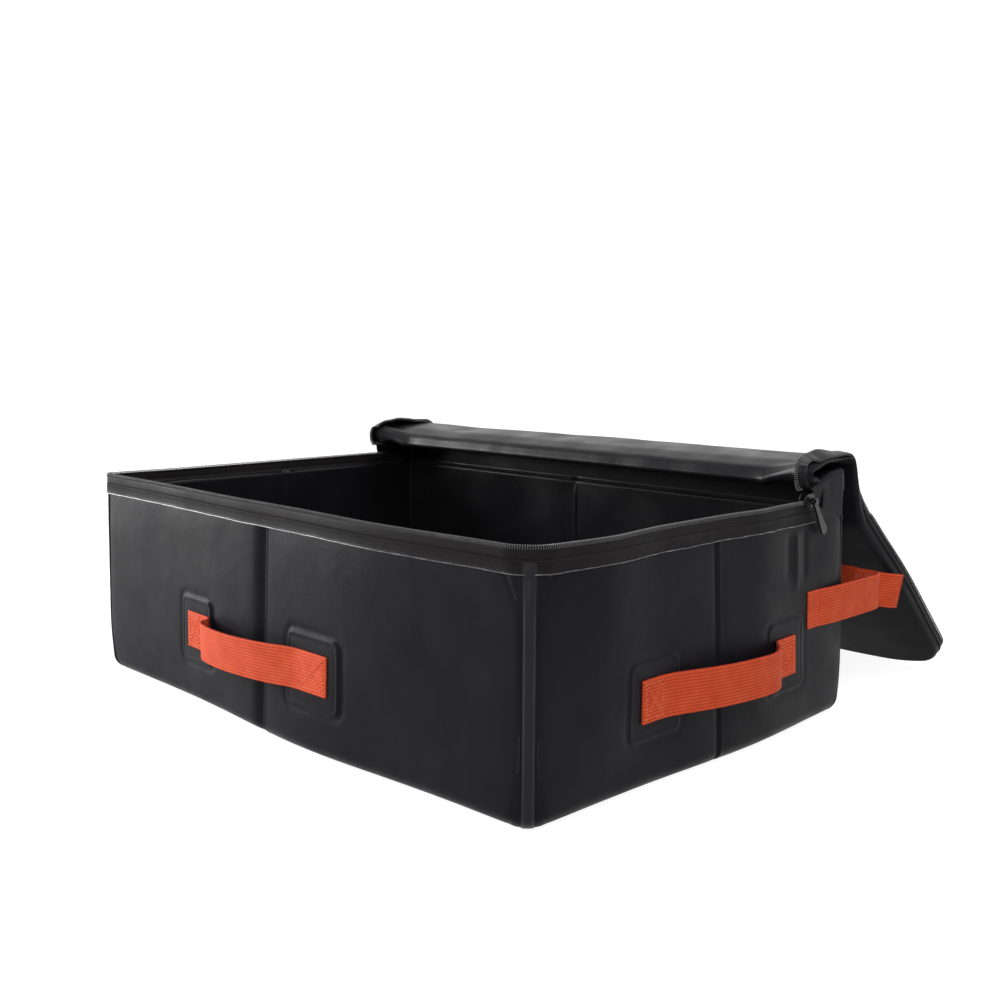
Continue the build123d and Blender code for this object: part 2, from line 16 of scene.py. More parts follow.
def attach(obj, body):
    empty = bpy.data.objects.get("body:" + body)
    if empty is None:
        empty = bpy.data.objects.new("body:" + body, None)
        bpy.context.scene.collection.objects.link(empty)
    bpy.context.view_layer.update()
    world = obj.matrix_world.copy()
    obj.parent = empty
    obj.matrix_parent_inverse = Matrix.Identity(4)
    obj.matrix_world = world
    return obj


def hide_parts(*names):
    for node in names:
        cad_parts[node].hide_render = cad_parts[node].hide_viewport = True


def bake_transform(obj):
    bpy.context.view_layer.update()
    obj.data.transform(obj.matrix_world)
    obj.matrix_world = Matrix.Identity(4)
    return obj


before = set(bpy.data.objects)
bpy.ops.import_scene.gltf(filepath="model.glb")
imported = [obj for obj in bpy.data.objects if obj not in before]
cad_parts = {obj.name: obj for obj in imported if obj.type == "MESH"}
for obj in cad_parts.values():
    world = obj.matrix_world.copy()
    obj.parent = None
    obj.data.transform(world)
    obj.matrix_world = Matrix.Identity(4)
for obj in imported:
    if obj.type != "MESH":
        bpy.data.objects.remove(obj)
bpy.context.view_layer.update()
MM = 0.001
print("pieces in the frame:", len(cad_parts))

# %% [markdown]
# ## Camera
#
# A photograph fixes its camera. The rim, the corners and the creases of the box were matched to the
# picture, which gives the lens, the place of the lens and a slight roll.

# %% Camera
camera_data = bpy.data.cameras.new("camera")
camera_data.lens = 42.646
camera_data.sensor_width = 36.0
camera = bpy.data.objects.new("camera", camera_data)
bpy.context.collection.objects.link(camera)
bpy.context.scene.camera = camera
azimuth, look_down, roll = radians(45.115), radians(7.664), radians(0.3707)
forward = Vector((-sin(azimuth) * cos(look_down), cos(azimuth) * cos(look_down), -sin(look_down)))
level_right = Vector((cos(azimuth), sin(azimuth), 0))
level_up = level_right.cross(forward)
right = cos(roll) * level_right + sin(roll) * level_up
up = -sin(roll) * level_right + cos(roll) * level_up
camera.matrix_world = Matrix.Translation(Vector((626.38, -575.15, 252.97)) * MM) @ Matrix(
    (right, up, -forward)).transposed().to_4x4()

# %% [markdown]
# ## Sizes
#
# The looks follow the same sizes as the solids, so that every piece lies where its solid does. Only
# the walls bow out a little, as full cloth walls do: one function further down moves all of them alike.

# %% Sizes
LENGTH, WIDTH, RIM = 455 * MM, 312 * MM, 150 * MM
HALF = {"front": LENGTH / 2, "back": LENGTH / 2, "right": WIDTH / 2, "left": WIDTH / 2}
LEAN = tan(radians(1.07))
SKIN_TOP, LINING_TOP, BOARD_TOP = 142.5 * MM, 143 * MM, 138.5 * MM
BAND_LOW = 135.5 * MM
WALL = 5 * MM
CLOTH, LINING = 0.9 * MM, 0.6 * MM
ZIP_END = 117 * MM
PAD_MIDDLE, PAD_HALF = 53 * MM, 23 * MM
BOARD_GAP_X, FRONT_CREASE = -13 * MM, -4 * MM
BOARD_GAP_Y, SIDE_CREASE = 9 * MM, 7 * MM
STRAP, STRAP_THICK, RIBS = 25 * MM, 1.5 * MM, 13


# %% [markdown]
# ## Helpers for sheets of mesh
#
# Most pieces are sheets. A sheet is easiest to make from a grid of points, because welds, creases
# and puffs are then plain formulas on the grid. A second map, in metres along the cloth, lets the
# weave follow the sheet round every corner.

# %% Helpers
def stops(low, high, step, *dense):
    """Places from low to high; closer together near each (middle, half width, fine step)."""
    places = set(np.round(np.linspace(low, high, max(2, int(ceil((high - low) / step)) + 1)), 6))
    for middle, half, fine in dense:
        count = int(ceil(2 * half / fine)) + 1
        for place in np.linspace(middle - half, middle + half, count):
            if low < place < high:
                places.add(round(float(place), 6))
    ordered = sorted(places)
    kept = [ordered[0]]
    for place in ordered[1:]:
        if place - kept[-1] > 0.12 * MM:
            kept.append(place)
    kept[-1] = ordered[-1]
    return np.array(kept)


def smooth(edge0, edge1, value):
    """0 below edge0, 1 above edge1, and a smooth rise between."""
    t = np.clip((value - edge0) / (edge1 - edge0), 0, 1)
    return t * t * (3 - 2 * t)


def bump(value, middle, width):
    """A smooth hump of height 1."""
    return np.exp(-((value - middle) / width) ** 2)


def ripple(a, b, size, seed):
    """Soft noise between about -1 and 1 over two coordinates, with features of that size."""
    flat_a, flat_b = np.broadcast_arrays(a, b)
    values = np.empty(flat_a.size)
    for index, (x, y) in enumerate(zip(flat_a.ravel(), flat_b.ravel())):
        values[index] = noise.noise((x / size + seed * 7.3, y / size - seed * 3.1, seed * 1.7))
        values[index] += 0.45 * noise.noise((2.2 * x / size, 2.2 * y / size + seed, seed * 5.9))
    return values.reshape(flat_a.shape)


def run_of(points):
    """How far along its line each point lies."""
    return np.concatenate([[0], np.cumsum(np.linalg.norm(np.diff(points, axis=0), axis=1))])


def unit(rows):
    """The same directions with length 1."""
    return rows / np.linalg.norm(rows, axis=1)[:, None]


def sheet_mesh(name, points, cloth, flip=False, wrap=False):
    """An object from a grid of points (rows, columns, 3), with a map of the cloth in metres."""
    rows, columns = points.shape[:2]
    mesh = bpy.data.meshes.new(name)
    faces, corners = [], []
    for r in range(rows - 1):
        for c in range(columns if wrap else columns - 1):
            d = (c + 1) % columns
            quad = [r * columns + c, r * columns + d, (r + 1) * columns + d, (r + 1) * columns + c]
            where = [(r, c), (r, c + 1), (r + 1, c + 1), (r + 1, c)]
            faces.append(quad[::-1] if flip else quad)
            corners.extend(where[::-1] if flip else where)
    mesh.from_pydata(points.reshape(-1, 3).tolist(), [], faces)
    layer = mesh.uv_layers.new(name="cloth")
    if wrap:
        cloth = np.concatenate([cloth, cloth[:, :1] + (cloth[:, -1:] - cloth[:, -2:-1])], axis=1)
    index = np.array(corners)
    layer.data.foreach_set("uv", cloth[index[:, 0], index[:, 1]].astype(np.float32).ravel())
    mesh.shade_smooth()
    piece = bpy.data.objects.new(name, mesh)
    bpy.context.collection.objects.link(piece)
    return piece


def finish_mesh(piece):
    """Apply what modifies a piece, so that its mesh is plain."""
    graph = bpy.context.evaluated_depsgraph_get()
    mesh = bpy.data.meshes.new_from_object(piece.evaluated_get(graph))
    piece.modifiers.clear()
    piece.data = mesh
    return piece


def thicken(piece, thickness):
    """Give a sheet its thickness, behind its faces."""
    solid = piece.modifiers.new("thickness", "SOLIDIFY")
    solid.thickness = thickness
    solid.offset = -1
    solid.use_even_offset = False
    finish_mesh(piece)
    piece.data.set_sharp_from_angle(angle=radians(50))
    return piece


def bow_out(points, above=None):
    """Move points of the tub out with its full walls; linings move only above their boards."""
    x, y, z = points.T / MM
    share = np.clip(z * MM / RIM, 0, 1)
    low, high = 9.0 * bump(x, 35, 95), 7.0 * bump(x, 108, 72) + 4.5 * bump(x, -30, 80)
    front = (low * (1 - share) + high * share) * smooth(-118, -148, y)
    low, high = 6.0 * bump(y, 45, 80), 5.0 * bump(y, -95, 32) + 2.5 * bump(y, 52, 24)
    side = (low * (1 - share) + high * share) * smooth(188, 218, x)
    rear_corners = 2.5 * smooth(100, 150, y) * smooth(185, 218, np.abs(x)) * smooth(168, 140, z)
    left_corner = 4.0 * smooth(-90, -148, y) * smooth(-185, -222, x) * share
    full = 1.0 if above is None else smooth(above, above + 4 * MM, z * MM)
    return np.stack([x + (side - left_corner) * full, y + (rear_corners - front) * full, z], axis=1) * MM


def dress(piece, material, body="tub", stands_for=(), bow=True, above=None):
    """Give a piece its bow, material and body, and hide the solids of the frame that it stands for."""
    if bow:
        points = np.empty(len(piece.data.vertices) * 3)
        piece.data.vertices.foreach_get("co", points)
        piece.data.vertices.foreach_set("co", bow_out(points.reshape(-1, 3), above).ravel())
        piece.data.update()
    piece.data.materials.clear()
    piece.data.materials.append(material)
    if body:
        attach(piece, body)
    if stands_for:
        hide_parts(*stands_for)
    return piece


# %% [markdown]
# ## Materials
#
# The skin is cloth coated with black plastic: a fine weave shows through a satin coat. The weave is
# a bump of crossed waves on the cloth's own map, and slow noise varies colour and gloss, because
# one flat black looks like paint. Numbers that are the same everywhere sit on the shader itself.

# %% Materials
def shader(name, colour, roughness, metallic=0.0, specular=0.5, sheen=0.0):
    """A material with its main shader set, ready for more nodes."""
    material = bpy.data.materials.new(name)
    material.use_nodes = True
    main = material.node_tree.nodes["Principled BSDF"]
    main.inputs["Base Color"].default_value = (*colour, 1)
    main.inputs["Roughness"].default_value = roughness
    main.inputs["Metallic"].default_value = metallic
    main.inputs["Specular IOR Level"].default_value = specular
    main.inputs["Sheen Weight"].default_value = sheen
    return material, main


def node(material, kind, **inputs):
    """Add a node; inputs are given by socket name with _ for a blank."""
    made = material.node_tree.nodes.new(kind)
    for key, value in inputs.items():
        made.inputs[key.replace("_", " ")].default_value = value
    return made


def link(material, source, target):
    """Link a socket to another."""
    material.node_tree.links.new(source, target)


def maths(material, operation, first, second=None, value=None):
    """A math node on one or two sources."""
    made = node(material, "ShaderNodeMath")
    made.operation = operation
    link(material, first, made.inputs[0])
    if second is not None:
        link(material, second, made.inputs[1])
    if value is not None:
        made.inputs[1].default_value = value
    return made.outputs[0]


def place(material, map_name=None):
    """Where a pattern sits: on the piece's own map, or in the piece's own space."""
    if map_name:
        made = node(material, "ShaderNodeUVMap")
        made.uv_map = map_name
        return made.outputs[0]
    return node(material, "ShaderNodeTexCoord").outputs["Object"]


def cloudy(material, where, size, low, high, target, detail=3.0, ramp=(0.35, 0.65)):
    """Vary a colour or a number with soft noise; size is that of the clouds."""
    clouds = node(material, "ShaderNodeTexNoise", Scale=1 / size, Detail=detail)
    link(material, where, clouds.inputs["Vector"])
    blend = node(material, "ShaderNodeValToRGB")
    for mark, position, colour in zip(blend.color_ramp.elements, ramp, (low, high)):
        mark.position = position
        mark.color = (*colour, 1)
    link(material, clouds.outputs[0], blend.inputs[0])
    link(material, blend.outputs[0], target)


def clouded(name, colour, roughness, size, low, high, map_name=None, detail=3.0, ramp=(0.35, 0.65), **look):
    """A material whose colour drifts between two, with its main shader and where its patterns sit."""
    material, main = shader(name, colour, roughness, **look)
    where = place(material, map_name)
    cloudy(material, where, size, low, high, main.inputs["Base Color"], detail, ramp)
    return material, main, where


def waves(material, along, pitch):
    """A wave of that pitch along one coordinate, from -1 to 1."""
    return maths(material, "SINE", maths(material, "MULTIPLY", along, value=2 * pi / pitch))


def relief(material, main, height, depth, before=None):
    """Turn a height from 0 to 1 into a bump of that depth in metres."""
    made = node(material, "ShaderNodeBump", Strength=1.0, Distance=depth)
    link(material, height, made.inputs["Height"])
    if before is not None:
        link(material, before, made.inputs["Normal"])
    link(material, made.outputs[0], main.inputs["Normal"])
    return made.outputs[0]


def grained(material, main, where, size, detail, depth, before=None):
    """A bump of fine noise: scuffs, fibres or scratches."""
    grains = node(material, "ShaderNodeTexNoise", Scale=1 / size, Detail=detail)
    link(material, where, grains.inputs["Vector"])
    relief(material, main, grains.outputs[0], depth, before)


def coated_cloth(name, dark, light, gloss, shine, weave=0.75, grain=0.02):
    """Woven cloth under a satin coat."""
    material, main, where = clouded(name, light, gloss, 90 * MM, dark, light, "cloth", specular=shine)
    cloudy(material, where, 35 * MM, (gloss - 0.07,) * 3, (gloss + 0.09,) * 3,
           main.inputs["Roughness"], detail=5.0)
    split = node(material, "ShaderNodeSeparateXYZ")
    link(material, where, split.inputs[0])
    picks = waves(material, split.outputs["Y"], weave * MM)
    ends = waves(material, split.outputs["X"], weave * 1.3 * MM)
    crossed = maths(material, "ADD", picks, maths(material, "MULTIPLY", ends, value=0.35))
    woven = relief(material, main, crossed, grain * MM)
    grained(material, main, where, 7 * MM, 4.0, 0.12 * MM, woven)
    return material


wall_cloth = coated_cloth("wall_cloth", (0.0080, 0.0075, 0.0095), (0.0120, 0.0112, 0.0140), 0.40, 0.06)
lining_cloth = coated_cloth("lining_cloth", (0.0075, 0.0072, 0.0085), (0.0115, 0.0110, 0.0125), 0.32, 0.12,
                            weave=0.9, grain=0.008)
rim_cloth = coated_cloth("rim_cloth", (0.0115, 0.0100, 0.0104), (0.0180, 0.0158, 0.0162), 0.46, 0.055,
                         weave=0.9, grain=0.025)
weld_cloth = coated_cloth("weld_cloth", (0.0120, 0.0115, 0.0135), (0.018, 0.0175, 0.0200), 0.34, 0.14,
                          weave=0.9, grain=0.01)


# %% [markdown]
# ## Walls
#
# Each wall is two boards between two welded sheets, so its middle is flat and its edges are soft. The
# cloth dips into the gap between the boards and beside the corner welds. A box of plain planes
# would miss all that, so each wall is a fine grid that wraps from the middle of one corner to the
# middle of the next and round under the floor, pushed in or out by a sum of small formulas.

# %% Wall surface
CORNER_TOP, CORNER_FOOT = 7 * MM, 16 * MM
WALL_ENDS = {"front": ("front_left", "front_right"), "right": ("front_right", "rear"),
             "back": ("rear", "rear"), "left": ("rear", "front_left")}
FOOT_RADIUS, TIGHTEST = 9 * MM, 1.5 * MM
CORNER_STEPS = 14
OUTWARD = {"front": (1, -1), "back": (-1, 1), "right": (1, 1), "left": (-1, -1)}


def corner_radius(z, corner):
    """Upright corners are rounder near the floor; the nearest one opens out again where the zip turns."""
    foot = (1 - np.clip(z / (45 * MM), 0, 1)) ** 2
    if corner == "rear":
        return float(3.5 * MM + 8 * MM * foot)
    opening = 13 * MM if corner == "front_right" else 1 * MM
    return float(CORNER_TOP + (CORNER_FOOT - CORNER_TOP) * foot + opening * smooth(112 * MM, 150 * MM, z))


def wall_surface(wall, columns, rows, inset, moved):
    """Points of a wall; columns are places along it, rows are heights or, below 0, foot angles."""
    long_wall = wall in ("front", "back")
    half_run, half_out = HALF[wall], (WIDTH if long_wall else LENGTH) / 2
    turns = np.linspace(0, pi / 4, CORNER_STEPS + 1)[1:]
    foot = FOOT_RADIUS - inset
    reach = half_run - inset - CORNER_TOP
    run_way, out_way = OUTWARD[wall]
    points, cloth = [], []
    for row in rows:
        bend = max(0.0, -row)
        z = inset + foot * (1 - sin(bend)) if row <= 0 else row
        tuck = foot * (1 - cos(bend))
        shrink = z * LEAN + inset + tuck
        near, far = [max(corner_radius(z, end) - inset - tuck, TIGHTEST) for end in WALL_ENDS[wall]]
        run, out = half_run - shrink, half_out - shrink
        flat = columns * (run - np.where(columns < 0, near, far)) / reach
        along = np.concatenate([-(run - near) - near * np.sin(turns[::-1]), flat,
                                (run - far) + far * np.sin(turns)])
        away = np.concatenate([out - near + near * np.cos(turns[::-1]),
                               np.full(len(flat), out), out - far + far * np.cos(turns)])
        lean_a = np.concatenate([-np.sin(turns[::-1]), np.zeros(len(flat)), np.sin(turns)])
        lean_o = np.concatenate([np.cos(turns[::-1]), np.ones(len(flat)), np.cos(turns)])
        arc = np.concatenate([-(run - near) - near * turns[::-1], columns, (run - far) + far * turns])
        length = z if bend == 0 else inset + foot - foot * bend
        radius = np.where(arc < 0, near, far)
        push = moved(arc, np.full(len(arc), length), run - radius + radius * pi / 4) * cos(bend) ** 2
        along = along + push * lean_a * cos(bend)
        away = away + push * lean_o * cos(bend)
        height = np.full(len(arc), z) - push * sin(bend)
        plan = (run_way * along, out_way * away)
        points.append(np.stack([*(plan if long_wall else plan[::-1]), height], axis=1))
        cloth.append(np.stack([arc, np.full(len(arc), length)], axis=1))
    return np.array(points), np.array(cloth)


# %% [markdown]
# The pressed pads under the strap ends, the creases, the corner grooves and the soft swell of the
# panels are each a line or two of the formula. Distances to a pad's outline come from the usual
# rounded box formula.

# %% Wall relief
def pad_edge(a, z, middle, half_a, radius):
    """Distance inside a rounded rectangle's outline; negative outside."""
    qa = np.abs(a - middle) - (half_a - radius)
    qz = np.abs(z - PAD_MIDDLE) - (PAD_HALF - radius)
    outside = np.hypot(np.maximum(qa, 0), np.maximum(qz, 0)) + np.minimum(np.maximum(qa, qz), 0)
    return radius - outside


def pressed_pad(a, z, middle, half_a):
    """A raised pad with a soft moat round it and a pressed line near its edge."""
    inside = pad_edge(a, z, middle, half_a, 6 * MM)
    step = 1.25 * MM * smooth(-0.5 * MM, 1.1 * MM, inside)
    moat = -0.75 * MM * bump(inside, -2.2 * MM, 2.4 * MM) * (inside < 0)
    line = -0.35 * MM * bump(inside, 3.4 * MM, 0.55 * MM)
    return step + moat + line


def wall_relief(crease, crease_depth, crease_half, pads, pad_share, seed, wrinkles=()):
    """How far the cloth of one wall stands out or in, at each place along it and height."""
    def moved(a, z, corner):
        to_corner = corner - np.abs(a)
        past = a - crease
        to_crease = np.abs(past)
        swell = 1 - np.exp(-to_crease / (9 * MM))
        swell = swell * (1 - np.exp(-np.maximum(to_corner - 3.6 * MM, 0) / (8 * MM)))
        swell = swell * (1 - np.exp(-np.maximum(SKIN_TOP - z, 0) / (7 * MM)))
        swell = swell * (1 - np.exp(-(z + 6 * MM) / (14 * MM)))
        push = 1.3 * MM * swell - 0.4 * MM
        fade = smooth(SKIN_TOP + 1 * MM, SKIN_TOP - 6 * MM, z)
        half = np.where(past < 0, 1.5, 0.55) * crease_half
        push = push - crease_depth * bump(past, 0, half) * fade
        push = push - 0.5 * crease_depth * bump(past, -0.3 * MM, 0.6 * MM) * fade
        push = push + 0.22 * crease_depth * bump(past, 0.9 * crease_half, 1.3 * MM) * fade
        push = push - 0.6 * MM * bump(to_corner, 3.6 * MM, 1.1 * MM)
        for middle, half_a in pads:
            push = push + pad_share * pressed_pad(a, z, middle, half_a)
        for wrinkle in wrinkles:
            middle, low, high, depth, width = np.array(wrinkle) * MM
            ends = smooth(low, low + 16 * MM, z) * smooth(high, high - 8 * MM, z)
            push = push + depth * bump(a, middle + 0.05 * (z - high), width) * ends
        push = push + 0.55 * MM * ripple(a, z, 70 * MM, seed) * swell
        push = push + 0.16 * MM * ripple(a, z, 22 * MM, seed + 3) * swell
        return push
    return moved


creases = {"front": FRONT_CREASE, "right": SIDE_CREASE, "back": -BOARD_GAP_X, "left": -BOARD_GAP_Y}
pads = {
    "front": [(-88.5 * MM, 20.5 * MM), (53.0 * MM, 26.5 * MM)],
    "right": [(-55 * MM, 23 * MM), (78.0 * MM, 21.5 * MM)],
    "back": [],
    "left": [(55 * MM, 23 * MM), (-78.0 * MM, 21.5 * MM)],
}
WRINKLES = [(94, 88, 135, 0.9, 3.2), (84, 96, 134, -0.6, 3.6), (104, 92, 136, -0.7, 3)]
reliefs = {
    "front": wall_relief(creases["front"], 2.6 * MM, 4.2 * MM, pads["front"], 0.8, 1),
    "right": wall_relief(creases["right"], 1.1 * MM, 1.8 * MM, pads["right"], 0.4, 2, WRINKLES),
    "back": wall_relief(creases["back"], 1.2 * MM, 3.0 * MM, pads["back"], 0.5, 4),
    "left": wall_relief(creases["left"], 1.1 * MM, 2.0 * MM, pads["left"], 0.4, 5),
}

# %% Outer walls
coarse = 1.7 * MM
fine = 0.5 * MM
pad_line = 3.6 * MM


def foot_then(heights, steps):
    """Rows of a wall: angles round its foot first, then heights."""
    return np.concatenate([-np.linspace(pi / 2, 0, steps)[:-1], [0.0], heights[1:]])


for wall in reliefs:
    half = HALF[wall]
    reach = half - CORNER_TOP
    edges, pad_rows, stands = [(creases[wall], 6 * MM, fine)], [], [wall + "_skin"]
    for middle, half_a in pads[wall]:
        edges += [(middle - half_a, pad_line, fine), (middle + half_a, pad_line, fine)]
    if pads[wall]:
        pad_rows = [(PAD_MIDDLE + way * (PAD_HALF + 0.5 * MM), pad_line, fine) for way in (-1, 1)]
        stands.append(wall + "_handle_patches")
    columns = stops(-reach, reach, coarse, *edges)
    rows = foot_then(stops(FOOT_RADIUS, SKIN_TOP, coarse, *pad_rows), 10)
    points, cloth = wall_surface(wall, columns, rows, 0.0, reliefs[wall])
    piece = thicken(sheet_mesh(wall + "_wall", points, cloth), CLOTH)
    dress(piece, wall_cloth, "tub", stands)

# %% [markdown]
# ## Corner welds
#
# A narrow strip is welded over each upright corner seam, with a pressed groove on both sides. It is a
# ribbon that follows the corner's curve from the band at the rim to the floor.

# %% Corner strips
def corner_strip(name, corner, side_x, side_y):
    """A raised ribbon over one upright corner; only the nearest stands out clearly."""
    across = np.array([-3.7, -3.3, -2.75, -2.35, -1.6, -0.5, 0.5, 1.6, 2.35, 2.75, 3.3, 3.7]) * MM
    raised = np.array([0.0, 0.05, 0.25, 0.8, 0.95, 1.0, 1.0, 0.95, 0.8, 0.25, 0.05, 0.0]) * MM
    raised = raised * {"front_right": 1.0, "front_left": 0.15, "rear": 0.5}[corner]
    over_band = 142 * MM if side_y < 0 else BAND_LOW + 1 * MM
    rows = np.concatenate([-np.linspace(pi / 2.2, 0, 7)[:-1], [0.0],
                           np.linspace(FOOT_RADIUS, over_band, 70)[1:]])
    points, cloth = [], []
    for row in rows:
        bend = max(0.0, -row)
        z = FOOT_RADIUS * (1 - sin(bend)) if row <= 0 else row
        tuck = FOOT_RADIUS * (1 - cos(bend))
        shrink = z * LEAN + tuck
        radius = max(corner_radius(z, corner) - tuck, TIGHTEST)
        middle_x, middle_y = LENGTH / 2 - shrink - radius, WIDTH / 2 - shrink - radius
        turn = pi / 4 + across / max(radius, 5 * MM)
        out = radius - 0.45 * MM + raised + 0.08 * MM * noise.noise((z / (9 * MM), side_x * 3.1, side_y))
        out = out + 0.85 * MM * float(smooth(BAND_LOW - 1.5 * MM, BAND_LOW, z))
        out = radius + (out - radius) * cos(bend)
        points.append(np.stack([side_x * (middle_x + out * np.cos(turn)),
                                side_y * (middle_y + out * np.sin(turn)),
                                np.full(len(turn), z) - 0.3 * MM * sin(bend)], axis=1))
        cloth.append(np.stack([across, np.full(len(turn), z - tuck)], axis=1))
    piece = sheet_mesh(name, np.array(points), np.array(cloth), flip=side_x * side_y < 0)
    dress(thicken(piece, 0.5 * MM), weld_cloth, "tub", ["corner_weld_strips"])


for word, corner, side_x, side_y in (
        ("front_right", "front_right", 1, -1), ("front_left", "front_left", -1, -1),
        ("back_right", "rear", 1, 1), ("back_left", "rear", -1, 1)):
    corner_strip("corner_strip_" + word, corner, side_x, side_y)

# %% [markdown]
# ## Rim
#
# Under the rim runs the zip's tape, and under that the weld band, on the front and both sides. Both are
# profiles drawn along one path round three walls. Heat draws the band a little unevenly, so its lower
# edge wanders, most of all on the right wall, and its two weld lines catch the light.

# %% Rim path
def rim_path(step, z):
    """Plan points and outward directions of the outer wall at a height, from the left end to the right."""
    left, radius = corner_radius(z, "front_left") + z * LEAN, corner_radius(z, "front_right") + z * LEAN
    run, out = LENGTH / 2, WIDTH / 2
    side_count, front_count = int(WIDTH / step), int(LENGTH / step)
    places = []
    for y in np.linspace(ZIP_END, -(out - left), side_count)[:-1]:
        places.append((-run, y, -1, 0))
    for turn in np.linspace(0, pi / 2, 16):
        places.append((-run + left - left * cos(turn), -(out - left) - left * sin(turn),
                       -cos(turn), -sin(turn)))
    for x in np.linspace(-(run - left), run - radius, front_count)[1:-1]:
        places.append((x, -out, 0, -1))
    for turn in np.linspace(0, pi / 2, 16):
        places.append((run - radius + radius * sin(turn), -(out - radius) - radius * cos(turn),
                       sin(turn), -cos(turn)))
    for y in np.linspace(-(out - radius), ZIP_END, side_count)[1:]:
        places.append((run, y, 1, 0))
    places = np.array(places)
    return places, run_of(places[:, :2])


def rim_sheet(name, profile, shift=None, thickness=0.6 * MM):
    """A profile of (stand-out, height) in millimetres drawn along the rim, leaning with the walls."""
    rows, cloth = [], []
    profile = np.array(profile) * MM
    for (out, z), climb in zip(profile, run_of(profile)):
        places, run = rim_path(2 * MM, z)
        rise, push = np.full(len(run), z), np.full(len(run), out)
        if shift is not None:
            more_out, more_up = shift(run, places, z)
            push, rise = push + more_out, rise + more_up
        inward = push - rise * LEAN
        rows.append(np.stack([places[:, 0] + places[:, 2] * inward,
                              places[:, 1] + places[:, 3] * inward, rise], axis=1))
        cloth.append(np.stack([run, np.full(len(run), climb)], axis=1))
    return thicken(sheet_mesh(name, np.array(rows), np.array(cloth)), thickness)


def pucker(run, places, z):
    """How the band's lower edge wanders."""
    low = float(smooth(SKIN_TOP, BAND_LOW, z))
    amount = np.where(places[:, 2] > 0.5, 0.55, 0.22) * MM
    up = amount * low * ripple(run, 0 * run, 16 * MM, 11)
    out = 0.25 * amount * ripple(run, 0 * run + z, 7 * MM, 12)
    return out, up


band = rim_sheet("rim_weld_band", [
    (-0.5, 134.6), (0.15, 134.9), (0.75, 135.3), (0.85, 135.7), (0.45, 136.3), (0.4, 137.5),
    (0.45, 139.5), (0.5, 141.2), (0.75, 141.9), (0.8, 142.4), (0.35, 142.8), (-0.3, 143.0)], shift=pucker)
dress(band, rim_cloth, "tub", ["rim_weld_band"])
tape = rim_sheet("rim_zip_tape", [
    (-0.3, 142.2), (0.2, 142.8), (0.3, 144.5), (0.25, 146.4), (0.2, 147.6), (0.1, 148.6), (-0.2, 149.2),
    (-0.7, 149.3), (-1.1, 148.4), (-1.6, 145.0), (-1.7, 137.0)])
dress(tape, rim_cloth, "tub", ["zip_tape_front", "zip_tape_left", "zip_tape_right"])

# %% [markdown]
# A pale, broken line runs along the lower weld: a painted highlight for the light caught on the ridge of
# the band. It is a hair-thin ribbon there, whose light colour comes and goes with noise.

# %% Weld line, painted highlight
# Painted highlight: this thin ribbon's pale colour stands in for light caught on the band's lower weld ridge.
pale_weld = clouded("pale_weld", (0.16, 0.16, 0.17), 0.28, 9 * MM, (0.022, 0.021, 0.023),
                    (0.20, 0.20, 0.21), "cloth", detail=4.0, ramp=(0.45, 0.66), specular=0.6)[0]
weld_glint_ribbon = rim_sheet("rim_weld_line", [(0.80, 135.25), (0.98, 135.45), (0.98, 135.7), (0.84, 135.85)],
                      shift=pucker, thickness=0.12 * MM)
dress(weld_glint_ribbon, pale_weld, "tub")

# %% [markdown]
# ## Zip coil
#
# The zip is a nylon coil sewn to the tape's edge: some hundreds of small turns. Geometry Nodes puts
# one turn at every pitch along a path and stands it across the path, so the teeth follow every
# corner. The path is a plain line of points that carries which way is up. Stitches, further down, are
# laid the same way, so the tree takes what to lay as a function.

# %% Path trees
def path_tree(name, sizes, lengthwise, upright, make_item):
    """Nodes that set one item at every pitch along a line mesh, turned to the path and its up."""
    tree = bpy.data.node_groups.new(name, "GeometryNodeTree")
    face, nodes, links = tree.interface, tree.nodes, tree.links
    face.new_socket("Path", in_out="INPUT", socket_type="NodeSocketGeometry")
    for label, value in sizes:
        face.new_socket(label, in_out="INPUT", socket_type="NodeSocketFloat").default_value = value
    face.new_socket("Material", in_out="INPUT", socket_type="NodeSocketMaterial")
    face.new_socket("Items", in_out="OUTPUT", socket_type="NodeSocketGeometry")
    source, result = nodes.new("NodeGroupInput"), nodes.new("NodeGroupOutput")
    curve, spaced = nodes.new("GeometryNodeMeshToCurve"), nodes.new("GeometryNodeResampleCurve")
    spaced.mode = "LENGTH"
    links.new(source.outputs["Path"], curve.inputs["Mesh"])
    links.new(curve.outputs["Curve"], spaced.inputs["Curve"])
    links.new(source.outputs["Pitch"], spaced.inputs["Length"])
    upward = nodes.new("GeometryNodeInputNamedAttribute")
    upward.data_type = "FLOAT_VECTOR"
    upward.inputs["Name"].default_value = "up"
    forwards = nodes.new("GeometryNodeInputTangent")
    first = nodes.new("FunctionNodeAlignRotationToVector")
    second = nodes.new("FunctionNodeAlignRotationToVector")
    first.axis, second.axis, second.pivot_axis = lengthwise, upright, lengthwise
    links.new(forwards.outputs[0], first.inputs["Vector"])
    links.new(first.outputs[0], second.inputs["Rotation"])
    links.new(upward.outputs["Attribute"], second.inputs["Vector"])
    many = nodes.new("GeometryNodeInstanceOnPoints")
    links.new(spaced.outputs["Curve"], many.inputs["Points"])
    links.new(make_item(tree, source), many.inputs["Instance"])
    links.new(second.outputs[0], many.inputs["Rotation"])
    real, painted = nodes.new("GeometryNodeRealizeInstances"), nodes.new("GeometryNodeSetMaterial")
    links.new(many.outputs["Instances"], real.inputs["Geometry"])
    links.new(real.outputs["Geometry"], painted.inputs["Geometry"])
    links.new(source.outputs["Material"], painted.inputs["Material"])
    links.new(painted.outputs["Geometry"], result.inputs["Items"])
    return tree


